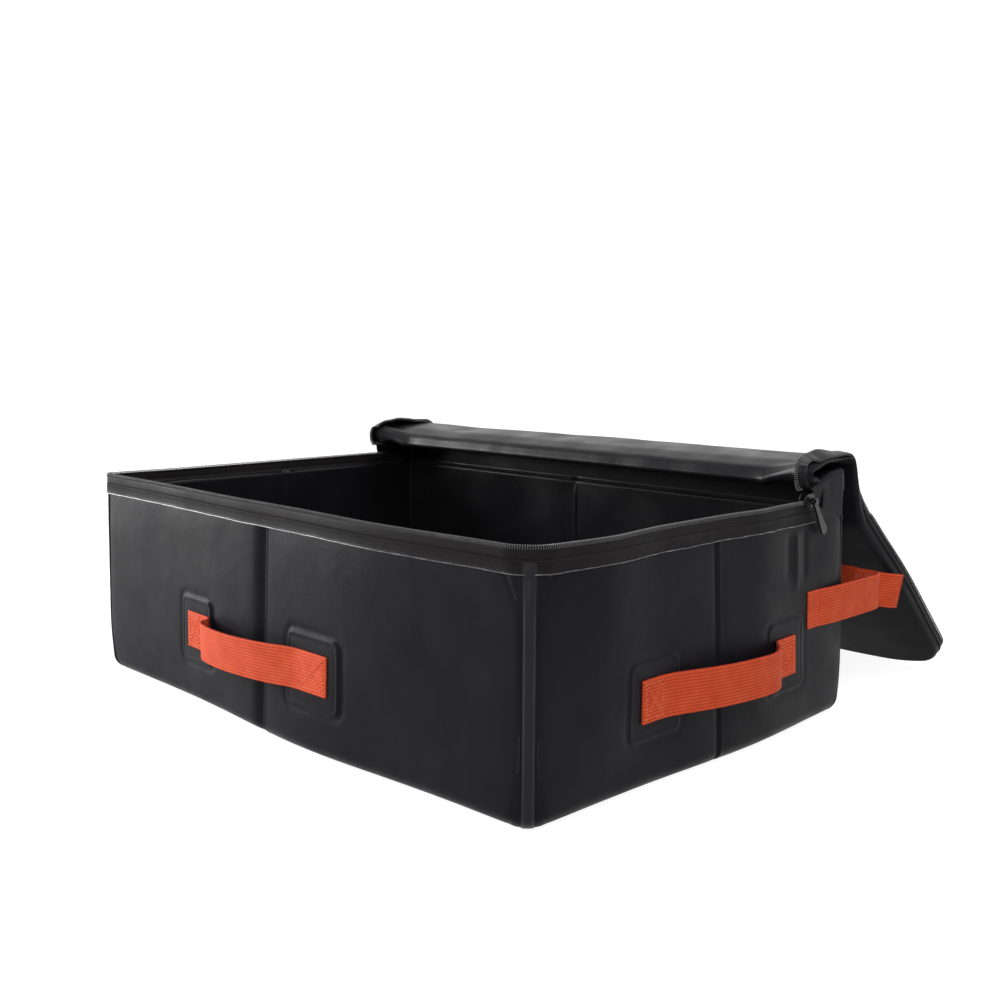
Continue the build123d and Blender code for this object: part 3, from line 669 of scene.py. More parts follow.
def scaled(tree, geometry, x, y, z=None):
    """Geometry stretched by sockets along x, y and z; z stays 1 if none is given."""
    size, moved = tree.nodes.new("ShaderNodeCombineXYZ"), tree.nodes.new("GeometryNodeTransform")
    size.inputs["Z"].default_value = 1.0
    for label, socket in (("X", x), ("Y", y), ("Z", z)):
        if socket is not None:
            tree.links.new(socket, size.inputs[label])
    tree.links.new(geometry, moved.inputs["Geometry"])
    tree.links.new(size.outputs[0], moved.inputs["Scale"])
    return moved.outputs["Geometry"]


def wire_loop(tree, source):
    """One turn of the coil: an oval of wire."""
    ring, wire = [tree.nodes.new("GeometryNodeCurvePrimitiveCircle") for _ in range(2)]
    ring.inputs["Resolution"].default_value, wire.inputs["Resolution"].default_value = 9, 5
    ring.inputs["Radius"].default_value = 1.0
    oval = scaled(tree, ring.outputs["Curve"], source.outputs["Loop Width"], source.outputs["Loop Height"])
    tree.links.new(source.outputs["Wire"], wire.inputs["Radius"])
    loop = tree.nodes.new("GeometryNodeCurveToMesh")
    tree.links.new(oval, loop.inputs["Curve"])
    tree.links.new(wire.outputs["Curve"], loop.inputs["Profile Curve"])
    return loop.outputs["Mesh"]


teeth = path_tree("coil_along_path", (
    ("Pitch", 1.25 * MM), ("Loop Width", 1.15 * MM), ("Loop Height", 1.3 * MM), ("Wire", 0.33 * MM)),
    "Z", "Y", wire_loop)


def grown_along(name, tree, points, ups, **sizes):
    """Run a tree on a line through points and keep the plain mesh that it makes."""
    mesh = bpy.data.meshes.new(name)
    mesh.from_pydata([tuple(p) for p in points], [(i, i + 1) for i in range(len(points) - 1)], [])
    attribute = mesh.attributes.new("up", "FLOAT_VECTOR", "POINT")
    attribute.data.foreach_set("vector", np.array(ups, dtype=np.float32).ravel())
    piece = bpy.data.objects.new(name, mesh)
    bpy.context.collection.objects.link(piece)
    grower = piece.modifiers.new("grow", "NODES")
    grower.node_group = tree
    for item in tree.interface.items_tree:
        if item.in_out == "INPUT" and item.name.replace(" ", "_") in sizes:
            grower[item.identifier] = sizes[item.name.replace(" ", "_")]
    finish_mesh(piece)
    piece.data.shade_smooth()
    return piece


coil_plastic = clouded("coil_plastic", (0.03, 0.0295, 0.03), 0.28, 14 * MM, (0.022, 0.0215, 0.022),
                       (0.045, 0.044, 0.045), specular=0.7)[0]
coil_in, coil_height = 0.75 * MM + RIM * LEAN, 149.2 * MM
coil_points = [(x - nx * coil_in, y - ny * coil_in, coil_height)
               for x, y, nx, ny in rim_path(1.5 * MM, RIM)[0]]
tub_coil = grown_along("rim_zip_coil", teeth, coil_points, [(0, 0, 1)] * len(coil_points),
                       Material=coil_plastic)
dress(tub_coil, coil_plastic, "tub", ["tub_zip_coil"])

# %% [markdown]
# ## Inside of the box
#
# The lining is a second set of sheets, 5 mm inside the first. It is smoother and glossier, because it
# has to wipe clean, and it dips at the creases too. The floor shows its four boards as low pads.

# %% Lining
def lining_relief(crease, seed):
    """The lining's soft swell into the box; the crease shows as a ridge between two dips."""
    def moved(a, z, corner):
        to_crease = np.abs(a - crease)
        swell = (1 - np.exp(-to_crease / (10 * MM))) * (1 - np.exp(-(z - WALL) / (12 * MM)))
        swell = swell * (1 - np.exp(-np.maximum(corner - np.abs(a), 0) / (9 * MM)))
        push = -1.0 * MM * swell + 0.8 * MM
        push = push - 1.2 * MM * bump(to_crease, 0, 1.3 * MM) * smooth(138 * MM, 128 * MM, z)
        push = push - 0.5 * MM * ripple(a, z, 55 * MM, seed) * swell
        return push + 2.6 * MM * smooth(BOARD_TOP, SKIN_TOP, z)
    return moved


for wall, crease in creases.items():
    half = HALF[wall]
    reach = half - WALL - CORNER_TOP
    columns = stops(-reach, reach, 3 * MM, (crease, 8 * MM, fine))
    rows = foot_then(stops(FOOT_RADIUS, LINING_TOP, 4 * MM, (140 * MM, 3 * MM, 1 * MM)), 6)
    points, cloth = wall_surface(wall, columns, rows, WALL, lining_relief(crease, len(wall) + 20))
    piece = thicken(sheet_mesh(wall + "_lining", points, cloth, flip=True), LINING)
    dress(piece, lining_cloth, "tub", [wall + "_liner"], above=BOARD_TOP)


def floor_sheet(name, z, margin, depth, swell, facing_up, material, node_name):
    """A floor sheet with soft dips along both fold lines."""
    half_x, half_y = LENGTH / 2 - margin, WIDTH / 2 - margin
    xs = stops(-half_x, half_x, 6 * MM, (BOARD_GAP_X, 8 * MM, 1 * MM))
    ys = stops(-half_y, half_y, 6 * MM, (BOARD_GAP_Y, 8 * MM, 1 * MM))
    x, y = np.meshgrid(xs, ys)
    near = np.minimum(np.abs(x - BOARD_GAP_X), np.abs(y - BOARD_GAP_Y))
    edge = np.minimum(half_x - np.abs(x), half_y - np.abs(y))
    rise = swell * (1 - np.exp(-near / (7 * MM))) * smooth(0, 12 * MM, edge)
    rise = rise + 0.3 * swell * ripple(x, y, 60 * MM, 31) * smooth(0, 20 * MM, edge)
    points = np.stack([x, y, z + (rise if facing_up else depth - np.clip(rise, 0, depth))], axis=2)
    piece = thicken(sheet_mesh(name, points, np.stack([x, y], axis=2), flip=not facing_up), LINING)
    dress(piece, material, "tub", [node_name], bow=not facing_up)


FLOOR_TOP, FLOOR_MARGIN = 4.6 * MM, 8.6 * MM
floor_sheet("floor_lining", FLOOR_TOP, FLOOR_MARGIN, 0.0, 0.9 * MM, True, lining_cloth,
            "floor_liner")
floor_sheet("floor_underside", 0.0, FLOOR_MARGIN, 0.7 * MM, 0.7 * MM, False, wall_cloth,
            "floor_skin")

# %% [markdown]
# ## Webbing
#
# The handles and straps are 25 mm webbing, woven with thirteen ribs along its length and small loops
# of weft at both edges. The ribs are real shape, because they show at the edges and in the light. The
# crossing threads are finer, so they are a bump. Its bright orange is darker in the grooves between
# the ribs: painted shade.

# %% Webbing material
webbing_cloth, main = shader("webbing_cloth", (0.84, 0.10, 0.03), 0.62, specular=0.12, sheen=0.06)
main.inputs["Sheen Roughness"].default_value = 0.5
where = place(webbing_cloth, "cloth")
split = node(webbing_cloth, "ShaderNodeSeparateXYZ")
link(webbing_cloth, where, split.inputs[0])
across_ribs = maths(webbing_cloth, "MULTIPLY", split.outputs["Y"], value=RIBS * pi / STRAP)
wave = maths(webbing_cloth, "ABSOLUTE", maths(webbing_cloth, "COSINE", across_ribs))
ribbed = maths(webbing_cloth, "POWER", wave, value=0.45)
shade = node(webbing_cloth, "ShaderNodeMix")
shade.data_type = "RGBA"
factor, groove, rib_top, mixed = shade.inputs[0], shade.inputs[6], shade.inputs[7], shade.outputs[2]
# Painted shade: the grooves between the ribs get a darker orange, standing in for the shade between them.
groove.default_value = (0.46, 0.034, 0.010, 1)
link(webbing_cloth, ribbed, factor)
link(webbing_cloth, mixed, main.inputs["Base Color"])
cloudy(webbing_cloth, where, 12 * MM, (0.86, 0.095, 0.024), (0.96, 0.130, 0.040), rib_top, detail=4.0)
WEFT_PITCH = 1.05 * MM
weft = waves(webbing_cloth, split.outputs["X"], WEFT_PITCH)
warp = waves(webbing_cloth, split.outputs["Y"], STRAP / (2 * RIBS))
woven = relief(webbing_cloth, main, maths(webbing_cloth, "MULTIPLY", weft, warp), 0.10 * MM)
relief(webbing_cloth, main, maths(webbing_cloth, "ABSOLUTE", weft), 0.06 * MM, woven)


# %% Webbing shape
def curve_through(points):
    """A smooth line through points (rows of any width), sampled every half millimetre or so."""
    control = np.array(points, float)
    padded = np.vstack([2 * control[0] - control[1], control, 2 * control[-1] - control[-2]])
    fine_line = []
    for i in range(1, len(padded) - 2):
        p0, p1, p2, p3 = padded[i - 1:i + 3]
        for t in np.linspace(0, 1, 40, endpoint=False):
            fine_line.append(0.5 * (2 * p1 + (p2 - p0) * t + (2 * p0 - 5 * p1 + 4 * p2 - p3) * t ** 2
                                    + (3 * p1 - p0 - 3 * p2 + p3) * t ** 3))
    fine_line = np.array(fine_line + [control[-1]])
    run = run_of(fine_line[:, :3])
    at = np.linspace(0, run[-1], max(8, int(run[-1] / (0.5 * MM))))
    return np.stack([np.interp(at, run, fine_line[:, k]) for k in range(fine_line.shape[1])], axis=1), at


def strap_mesh(name, centres, run, broad, face):
    """Webbing along centre points; broad and face are the directions across it and out of it."""
    across = np.linspace(-0.5, 0.5, RIBS * 4 + 1)
    out = STRAP_THICK / 2 + 0.17 * MM * np.abs(np.cos(pi * RIBS * across))
    loops = 0.22 * MM * np.sin(2 * pi * run / WEFT_PITCH)
    width = STRAP / 2 + loops
    across, out = np.concatenate([across, across[::-1]]), np.concatenate([out, -out[::-1]])
    points = centres[:, None] + broad[:, None] * (2 * across[None, :, None] * width[:, None, None])
    points = points + face[:, None] * out[None, :, None]
    u = np.broadcast_to(run[:, None], points.shape[:2])
    v = np.broadcast_to(across * STRAP, points.shape[:2])
    piece = sheet_mesh(name, points, np.stack([u, v], axis=2), wrap=True, flip=True)
    shape = bmesh.new()
    shape.from_mesh(piece.data)
    bmesh.ops.contextual_create(shape, geom=[edge for edge in shape.edges if edge.is_boundary])
    bmesh.ops.holes_fill(shape, edges=[edge for edge in shape.edges if edge.is_boundary])
    bmesh.ops.recalc_face_normals(shape, faces=shape.faces)
    shape.to_mesh(piece.data)
    shape.free()
    return piece


WALL_AXES = {
    "front": (Vector((0, -WIDTH / 2, 0)), Vector((1, 0, 0)), Vector((0, -1, LEAN)), Vector((0, LEAN, 1))),
    "right": (Vector((LENGTH / 2, 0, 0)), Vector((0, 1, 0)), Vector((1, 0, LEAN)), Vector((-LEAN, 0, 1))),
    "left": (Vector((-LENGTH / 2, 0, 0)), Vector((0, -1, 0)), Vector((-1, 0, LEAN)), Vector((LEAN, 0, 1))),
}


def on_wall(wall, along, out, height):
    """A point by its place along a wall, its distance out and its height."""
    origin, run, away, rise = WALL_AXES[wall]
    return np.array(origin + run * along + away.normalized() * out + rise * height)


def strap_frame(centres, upright):
    """Directions across webbing and out of it, from its centre line and roughly upright directions."""
    tangents = unit(np.gradient(centres, axis=0))
    broad = unit(upright - tangents * np.sum(upright * tangents, axis=1)[:, None])
    return broad, np.cross(tangents, broad)


def handle(wall, route, split_at, start_blend, end_blend):
    """A bowed handle in two pieces that meet in the middle; route rows are along, out, height, tip.

    Each blend has the places along the wall, in millimetres, where the cloth's stretch to the grip
    starts and ends; neither blend is used.
    """
    line, run = curve_through([[c * MM for c in row[:3]] + [radians(row[3])] for row in route])
    away, rise = [np.array(axis.normalized()) for axis in WALL_AXES[wall][2:]]
    centres = np.array([on_wall(wall, *row[:3]) for row in line])
    tip = line[:, 3:]
    broad, face = strap_frame(centres, rise[None] * np.cos(tip) + away[None] * np.sin(tip))
    cut = int(np.argmin(np.abs(line[:, 0] - split_at * MM)))
    for end, solid, keep, blend in (("start", "_handle_grip", slice(0, cut + 1), start_blend),
                                    ("end", "_handle_ends", slice(cut, None), end_blend)):
        piece = strap_mesh(wall + "_handle_" + end, centres[keep], run[keep], broad[keep], face[keep])
        dress(piece, webbing_cloth, None, [wall + solid])
        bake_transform(piece)


front_route = [(-98, 2.1, 53, 0), (-89, 2.1, 53, 0), (-76, 2.1, 53, 0), (-70, 2.5, 52.9, 0),
               (-67.6, 4.6, 52.6, 0), (-67.2, 7.6, 52.2, 0), (-65.4, 10.2, 51.8, 1), (-60, 12.2, 51.6, 2),
               (-48, 13.4, 51.4, 3), (-32, 13.6, 51.5, 4), (-14, 12.2, 51.8, 4), (4, 9.8, 52.2, 3),
               (19, 6.8, 52.6, 1), (29, 4.4, 53, 0), (38, 2.5, 53, 0), (49, 2.1, 53, 0), (68.5, 2.1, 53, 0)]
handle("front", front_route, -30, (-70, -52), (36, 6))
right_route = [(-67, 2.1, 53, 0), (-56, 2.1, 53, 0), (-47, 2.3, 53, 0), (-37, 3.9, 52.8, 0),
               (-23, 7.0, 52.4, 1), (-8, 10.0, 52, 2), (9, 12.2, 51.6, 3), (25, 13.4, 51.4, 3),
               (39, 13.4, 51.2, 3), (49, 12.2, 51.2, 2), (56, 10.0, 51.6, 1), (60.4, 7.2, 52, 0),
               (63, 4.6, 52.6, 0), (66, 2.7, 53, 0), (72.4, 2.1, 53, 0), (88.4, 2.1, 53, 0)]
handle("right", right_route, 20, (-45, -10), (70, 50))
left_route = [(-along, out, height, tip) for along, out, height, tip in right_route[::-1]]
handle("left", left_route, -20, (-70, -50), (45, 10))

# %% [markdown]
# ## Hold-back strap
#
# A short strap on the right wall reaches past the rear corner, turns in behind it and grips the strap
# on the lid. It is sewn down with one upright line of stitches.

# %% Hold-back strap
HOLD_HEIGHT = 78


def level_strap(name, route):
    """Webbing that stands on edge along plan points (x, y) in millimetres."""
    line, run = curve_through([(x * MM, y * MM, HOLD_HEIGHT * MM) for x, y in route])
    return strap_mesh(name, line, run, *strap_frame(line, np.broadcast_to([0.0, 0.0, 1.0], line.shape)))


hold_seam = level_strap("hold_strap_sewn", [(227.2, 107), (227.25, 113), (227.4, 119.6)])
dress(hold_seam, webbing_cloth, "tub", ["hold_strap_seam"])
hold_free = level_strap("hold_strap_free", [
    (227.5, 120.0), (228.4, 126), (229.6, 136), (230.2, 150), (230.5, 170), (230.4, 189), (229.7, 196.5),
    (227.2, 202.4), (222.6, 205.0), (216, 205.4), (208.4, 205.4)])
dress(hold_free, webbing_cloth, "hold_strap", ["hold_strap"])

# %% [markdown]
# ## Stitches
#
# Every sewn end has a box with a cross in it. One stitch is a short lump of thread; the same kind of
# tree lays them along a line, one pitch apart.

# %% Stitches
def thread_lump(tree, source):
    """One stitch: a ball drawn out along the seam."""
    ball = tree.nodes.new("GeometryNodeMeshUVSphere")
    for label, value in (("Segments", 6), ("Rings", 6), ("Radius", 1.0)):
        ball.inputs[label].default_value = value
    half = tree.nodes.new("ShaderNodeMath")
    half.operation = "MULTIPLY"
    half.inputs[1].default_value = 0.5
    tree.links.new(source.outputs["Stitch Length"], half.inputs[0])
    thick = source.outputs["Thread"]
    return scaled(tree, ball.outputs["Mesh"], half.outputs[0], thick, thick)


sewing = path_tree("stitches_along_path", (
    ("Pitch", 2.6 * MM), ("Stitch Length", 2.0 * MM), ("Thread", 0.32 * MM)), "X", "Z", thread_lump)
thread = clouded("orange_thread", (0.90, 0.19, 0.08), 0.5, 4 * MM, (0.80, 0.13, 0.05), (0.95, 0.26, 0.12),
                 specular=0.2, sheen=0.08)[0]


def joined(name, pieces):
    """Several meshes as one piece."""
    if len(pieces) > 1:
        with bpy.context.temp_override(active_object=pieces[0], selected_editable_objects=pieces):
            bpy.ops.object.join()
    pieces[0].name = name
    return pieces[0]


def sewn_box(name, wall, low, high, height, out):
    """A stitched rectangle with a cross inside, on the strap's outer face."""
    inset, up_half = 2.6, STRAP / MM / 2 - 2.4
    corners = [(low + inset, height - up_half), (high - inset, height - up_half),
               (high - inset, height + up_half), (low + inset, height + up_half)]
    away = np.array(WALL_AXES[wall][2].normalized())
    seams = []
    for index, (a, b) in enumerate(((0, 1), (1, 2), (2, 3), (3, 0), (0, 2), (1, 3))):
        places = np.linspace(corners[a], corners[b], 8) * MM
        points = [on_wall(wall, along, out * MM, up) for along, up in places.tolist()]
        seams.append(grown_along(name + "_" + str(index), sewing, points, [away] * 8, Material=thread))
    dress(joined(name, seams), thread, "tub")


for name, wall, low, high in (
        ("stitches_front_left", "front", -98, -80), ("stitches_front_right", "front", 39.5, 68.5),
        ("stitches_right_front", "right", -67, -47), ("stitches_right_back", "right", 67.5, 88.4),
        ("stitches_left_back", "left", -88.4, -67.5), ("stitches_left_front", "left", 47, 67)):
    sewn_box(name, wall, low, high, PAD_MIDDLE / MM, 3.05)
seam_points = [(0.2284, 0.1176, z * MM) for z in np.linspace(67.5, 88.5, 8)]
dress(grown_along("stitches_hold_strap", sewing, seam_points, [(1, 0, 0)] * 8, Material=thread),
      thread, "tub")

# %% [markdown]
# ## Lid
#
# The lid is a shallow tray, open and folded back. Seen from the side its cloth follows one line: forward
# from the back wall, a tight turn back over itself, over a crest and down behind the box. Every sheet of
# the lid is drawn on that line. A point is given by its place across, its run along the line, and its
# height on the lining's side.

# %% Lid line
def rounded_line(corners, step):
    """Straights and round bends through corners of (y, z, bend radius); also the bends' runs."""
    line, bends = [np.array(corners[0][:2], float)], []
    for before, corner, after in zip(corners, corners[1:], corners[2:]):
        here = np.array(corner[:2], float)
        into, out = here - np.array(before[:2]), np.array(after[:2]) - here
        into, out = into / np.linalg.norm(into), out / np.linalg.norm(out)
        turn = atan2(into[0] * out[1] - into[1] * out[0], float(into @ out))
        cut = corner[2] * tan(abs(turn) / 2)
        side = 1 if turn > 0 else -1
        middle = here - into * cut + side * corner[2] * np.array([-into[1], into[0]])
        arm = (here - into * cut) - middle
        steps = max(3, int(abs(turn) / radians(5)))
        bends.append(len(line) + steps // 2)
        for angle in np.linspace(0, turn, steps + 1):
            line.append(middle + np.array([cos(angle) * arm[0] - sin(angle) * arm[1],
                                           sin(angle) * arm[0] + cos(angle) * arm[1]]))
    line.append(np.array(corners[-1][:2], float))
    line = np.array(line)
    run = run_of(line)
    marks = [float(run[i]) for i in bends]
    at = np.unique(np.round(np.concatenate([run, np.arange(0, run[-1], step)]), 6))
    return np.stack([np.interp(at, run, line[:, 0]), np.interp(at, run, line[:, 1])], axis=1), at, marks


lid_line, lid_run, bends = rounded_line([(y * MM, z * MM, r * MM) for y, z, r in (
    (154, 168.6, 0), (138, 167.2, 30), (113.2, 159.0, 1.0), (118.4, 167.2, 6.5), (132, 171.4, 22),
    (167.3, 173.8, 7), (188, 121, 20), (298, 1.2, 0))], 2 * MM)
_, FOLD_LOW, FOLD_HIGH, _, CREST, LID_CREASE = bends
FOLD = (FOLD_LOW + FOLD_HIGH) / 2
LID_END = float(lid_run[-1])
tangent = unit(np.gradient(lid_line, lid_run, axis=0))
lid_normal = np.stack([-tangent[:, 1], tangent[:, 0]], axis=1)
LID_HALF, LID_CORNER, LID_SIDE = 224.9 * MM, 13 * MM, 14 * MM
TURN_UP, TURN_RADIUS = 12.5 * MM, 3.5 * MM

# %% [markdown]
# The hanging half of the lid is not quite square to the box. Its edges curl up towards the lining, and
# its foot has slipped a little to the right. The cloth near the two bends is softly creased.

# %% Lid shape
def along(s, table):
    """A value that changes along the line, from rows of run and value."""
    rows = np.array(table, float)
    return np.interp(s, rows[:, 0], rows[:, 1])


def lid_sway(x, s):
    """How far the cloth strays from its line."""
    wide = 0.9 * MM * ripple(x, s, 75 * MM, 41) * smooth(FOLD_HIGH, FOLD_HIGH + 20 * MM, s)
    soft = 1.3 * MM * ripple(x, s, 26 * MM, 42) * bump(s, LID_CREASE - 22 * MM, 24 * MM)
    pinch = 0.9 * MM * ripple(x, 0.3 * s, 30 * MM, 43) * bump(s, FOLD, 16 * MM)
    curl = along(s, [(CREST, 0), (LID_CREASE - 15 * MM, 3.5), (LID_CREASE, 6), (LID_CREASE + 60 * MM, 7),
                     (LID_END, 8)]) * MM
    return wide + soft + pinch + curl * np.clip((np.abs(x) - 180 * MM) / (45 * MM), 0, 1) ** 2


def lid_point(x, s, h):
    """Points of the lid from the place across, the run along the line and the height."""
    x, s, h = np.broadcast_arrays(x, s, h)
    h = h + lid_sway(x, s)
    x = x * (1 - 5 * MM / LID_HALF * bump(s, LID_CREASE + 4 * MM, 48 * MM))
    slip = 8 * MM * smooth(LID_CREASE - 30 * MM, LID_END + 60 * MM, s)
    y, z = np.interp(s, lid_run, lid_line[:, 0]), np.interp(s, lid_run, lid_line[:, 1])
    ny, nz = np.interp(s, lid_run, lid_normal[:, 0]), np.interp(s, lid_run, lid_normal[:, 1])
    size = np.hypot(ny, nz)
    beside = np.clip((np.abs(x) - 188 * MM) / (22 * MM), 0, 1) ** 0.8
    lift = 6.5 * MM * beside * bump(s, FOLD_LOW - 1 * MM, 7 * MM)
    return np.stack([x + slip, y + h * ny / size, z + h * nz / size + lift], axis=-1)


SIDE_LEAN = [(0, 0), (FOLD_LOW - 4 * MM, 0), (FOLD_LOW, 20), (FOLD, 38), (FOLD_HIGH, 42),
             (FOLD_HIGH + 8 * MM, 46), (FOLD_HIGH + 25 * MM, 52), (CREST - 15 * MM, 58), (CREST - 4 * MM, 74),
             (CREST + 4 * MM, 70), (CREST + 10 * MM, 46), (CREST + 30 * MM, 26), (LID_CREASE - 8 * MM, 10),
             (LID_CREASE + 10 * MM, 3), (LID_END, 0)]
SIDE_PRESS = [(0, 1), (FOLD_HIGH, 1), (FOLD_HIGH + 10 * MM, 0.92), (FOLD_HIGH + 25 * MM, 0.72),
              (CREST - 15 * MM, 0.52), (CREST, 0.42), (CREST + 10 * MM, 0.62), (CREST + 30 * MM, 0.8),
              (LID_CREASE, 1), (LID_END, 1)]


def side_place(x, s, nx, ns, out, high, low_edge):
    """Where a turned-up side passes, given its outline point and its distance out and up."""
    lean = np.radians(along(s, SIDE_LEAN)) * np.abs(nx)
    above = np.maximum(high - low_edge, 0)
    rise = np.minimum(high, low_edge) + above * np.cos(lean)
    out = out - above * np.sin(lean)
    room = (np.interp(s, lid_run, lid_line[:, 1]) - 151 * MM) / LID_SIDE
    short = np.where(s < FOLD_LOW, np.clip(room, 0.4, 1.2), 1)
    press = np.where(np.abs(nx) > 0.5, along(s, SIDE_PRESS), 1)
    pleat = 2.2 * MM * np.sin(pi * np.clip(high / (8 * MM), 0, 1)) * bump(s, FOLD_LOW - 1 * MM, 4 * MM)
    return x + nx * (out + pleat), s + ns * out, rise * short * press


# %% [markdown]
# A tray sheet is one grid for its flat part and one for its turned-up sides. The sides start on the
# grid's own border points, so the two meet without a gap, also round the corners at the front.

# %% Tray sheets
def lid_border(stations, inset, edge, closed):
    """Border points of the flat part: half width and run of each row, and the outward directions."""
    half = LID_HALF - inset - edge
    rows = [(half, s, 1.0, 0.0) for s in stations]
    if closed:
        tight, end = LID_CORNER - inset - edge, LID_END - inset - edge
        rows = [row for row in rows if row[1] < end - tight - 0.5 * MM]
        for turn in np.linspace(0, pi / 2, 9):
            rows.append((half - tight + tight * cos(turn), end - tight + tight * sin(turn),
                         cos(turn), sin(turn)))
    return np.array(rows)


def lid_sides(border, across, closed):
    """Outlines that the turned-up sides follow, each with rows of x, run and outward direction."""
    left = border[::-1] * np.array([-1, 1, -1, 1])
    if not closed:
        return [border, left]
    front = [(-a * border[-1, 0], border[-1, 1], 0.0, 1.0) for a in across[1:-1]]
    return [np.concatenate([border, np.array(front), left])]


def skin_base(x, s):
    """The outer sheet lies on the line itself."""
    return 0 * x + 0 * s


def lining_base(x, s):
    """The lining lies on the boards, lower where there are none, and opens out beside the fold."""
    flat = along(s, [(0, 2.4), (FOLD_LOW - 8 * MM, 2.4), (FOLD_LOW, 1.4), (FOLD_HIGH, 2.2),
                     (LID_CREASE - 10 * MM, 2.6), (LID_CREASE + 12 * MM, 5.0), (LID_END, 5.0)]) * MM
    beside = np.clip((np.abs(x) - 189 * MM) / (33 * MM), 0, 1)
    flare = 9.0 * MM * beside ** 1.1 * bump(s, FOLD, 9 * MM)
    return flat + flare + 1.5 * MM * bump(np.abs(x), 189 * MM, 5 * MM) * bump(s, FOLD_LOW, 6 * MM)


def tray(name, stations, closed, lining):
    """A flat part with its turned-up sides, as one piece."""
    base, inset, edge = (lining_base, 1.4 * MM, 4.0 * MM) if lining else (skin_base, 0.0, TURN_RADIUS)
    border = lid_border(stations, inset, edge, closed)
    x = across[None, :] * border[:, :1]
    s = np.broadcast_to(border[:, 1:2], x.shape)
    flat = sheet_mesh(name, lid_point(x, s, base(x, s)), np.stack([x, s], axis=2), flip=not lining)
    profile = [(edge * sin(a), edge * (1 - cos(a))) for a in np.linspace(0, pi / 2, 6)]
    profile += [(edge, high) for high in np.linspace(edge, TURN_UP, 7)[1:]]
    parts = [flat]
    for outline in lid_sides(border, across, closed):
        ox, os_, nx, ns = outline.T
        low = base(ox, os_)
        rows, cloth = [], []
        for out, high in profile:
            px, ps, ph = side_place(ox, os_, nx, ns, out, high, edge)
            fill = np.clip((TURN_UP - low) / TURN_UP, 0.1, 1) if lining else 1.0
            rows.append(lid_point(px, np.clip(ps, 0, LID_END), low + ph * fill))
            cloth.append(np.stack([ox + nx * (out + high), os_ + ns * (out + high)], axis=1))
        parts.append(sheet_mesh(name + "_side", np.array(rows), np.array(cloth), flip=lining))
    piece = joined(name, parts)
    shape = bmesh.new()
    shape.from_mesh(piece.data)
    bmesh.ops.remove_doubles(shape, verts=shape.verts, dist=0.02 * MM)
    shape.to_mesh(piece.data)
    shape.free()
    return thicken(piece, 0.8 * MM)


edge_places = np.array([0.835, 0.845, 0.855, 0.94, 0.965, 0.985, 1.0])
across = np.concatenate([-edge_places, np.linspace(-0.91, 0.91, 61), edge_places])
across = np.unique(np.round(across, 4))
FIRST_SEAM, SECOND_SEAM = FOLD_HIGH + 26 * MM, CREST + 38 * MM
first = stops(0, FIRST_SEAM, 2.5 * MM, (FOLD, 6 * MM, 0.4 * MM))
second = stops(FIRST_SEAM, SECOND_SEAM, 2.5 * MM, (CREST, 7 * MM, 0.7 * MM))
third = stops(SECOND_SEAM, LID_END, 3 * MM, (LID_CREASE, 6 * MM, 1 * MM))
STRIP_TO_FOLD = ("tub", "lid_fold", (0, 0.118, 0.1638), (0, 0.11766, 0.16547))
FOLD_TO_REAR = ("lid_fold", "lid_rear", (0, 0.150, 0.175), (0, 0.170, 0.165))
REAR_TO_FRONT = ("lid_rear", "lid_front", (0, 0.184, 0.131), (0, 0.196, 0.109))


def lid_piece(piece, material, stands_for=()):
    """Dress a piece of the lid, with no bow and no body, and bake its transform."""
    dress(piece, material, None, stands_for, bow=False)
    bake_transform(piece)


lid_sheets = (("back", first, STRIP_TO_FOLD, False, ["lid_back_strip_skin"], ["lid_back_strip_liner"]),
              ("crest", second, FOLD_TO_REAR, False, ["lid_fold_skin"], ["lid_fold_liner"]),
              ("front", third, REAR_TO_FRONT, True, ["lid_rear_skin", "lid_front_skin"],
               ["lid_rear_liner", "lid_front_liner"]))
for word, stations, blend, closed, skins, liners in lid_sheets:
    outer = tray("lid_" + word + "_cloth", stations, closed, False)
    lid_piece(outer, wall_cloth, skins)
    inner = tray("lid_" + word + "_lining", stations, closed, True)
    lid_piece(inner, lining_cloth, liners)

# %% [markdown]
# The lid's front board lies between the two sheets, so it follows the same line.

# %% Lid board
board, main, where = clouded("black_board", (0.014, 0.0135, 0.014), 0.8, 5 * MM, (0.010, 0.0095, 0.010),
                             (0.018, 0.017, 0.018), detail=6.0, specular=0.1)
grained(board, main, where, 0.8 * MM, 5.0, 0.08 * MM)
board_x, board_s = np.meshgrid(np.linspace(-205 * MM, 205 * MM, 60),
                               np.arange(LID_CREASE + 12 * MM, LID_END - 14 * MM, 4 * MM))
lid_board = sheet_mesh("lid_board", lid_point(board_x, board_s, 4.4 * MM),
                       np.stack([board_x, board_s], axis=2))
dress(thicken(lid_board, 2.8 * MM), board, "lid_front", ["lid_front_board"], bow=False)

# %% [markdown]
# Along the lid's open edge runs the other half of the zip: a welded tape with a ridge on its inner
# side, and the coil. Both follow the sides' outline, so they loop forward round the tight fold.

# %% Lid zip
def edge_rows(outline, profile):
    """Points of a profile of (stand-out, height) in millimetres, drawn along an outline."""
    ox, os_, nx, ns = outline.T
    rows = []
    for out, high in np.array(profile) * MM:
        px, ps, ph = side_place(ox, os_, nx, ns, TURN_RADIUS + out, high, TURN_RADIUS)
        rows.append(lid_point(px, np.clip(ps, 0, LID_END + 1.2 * MM), ph))
    return np.array(rows)


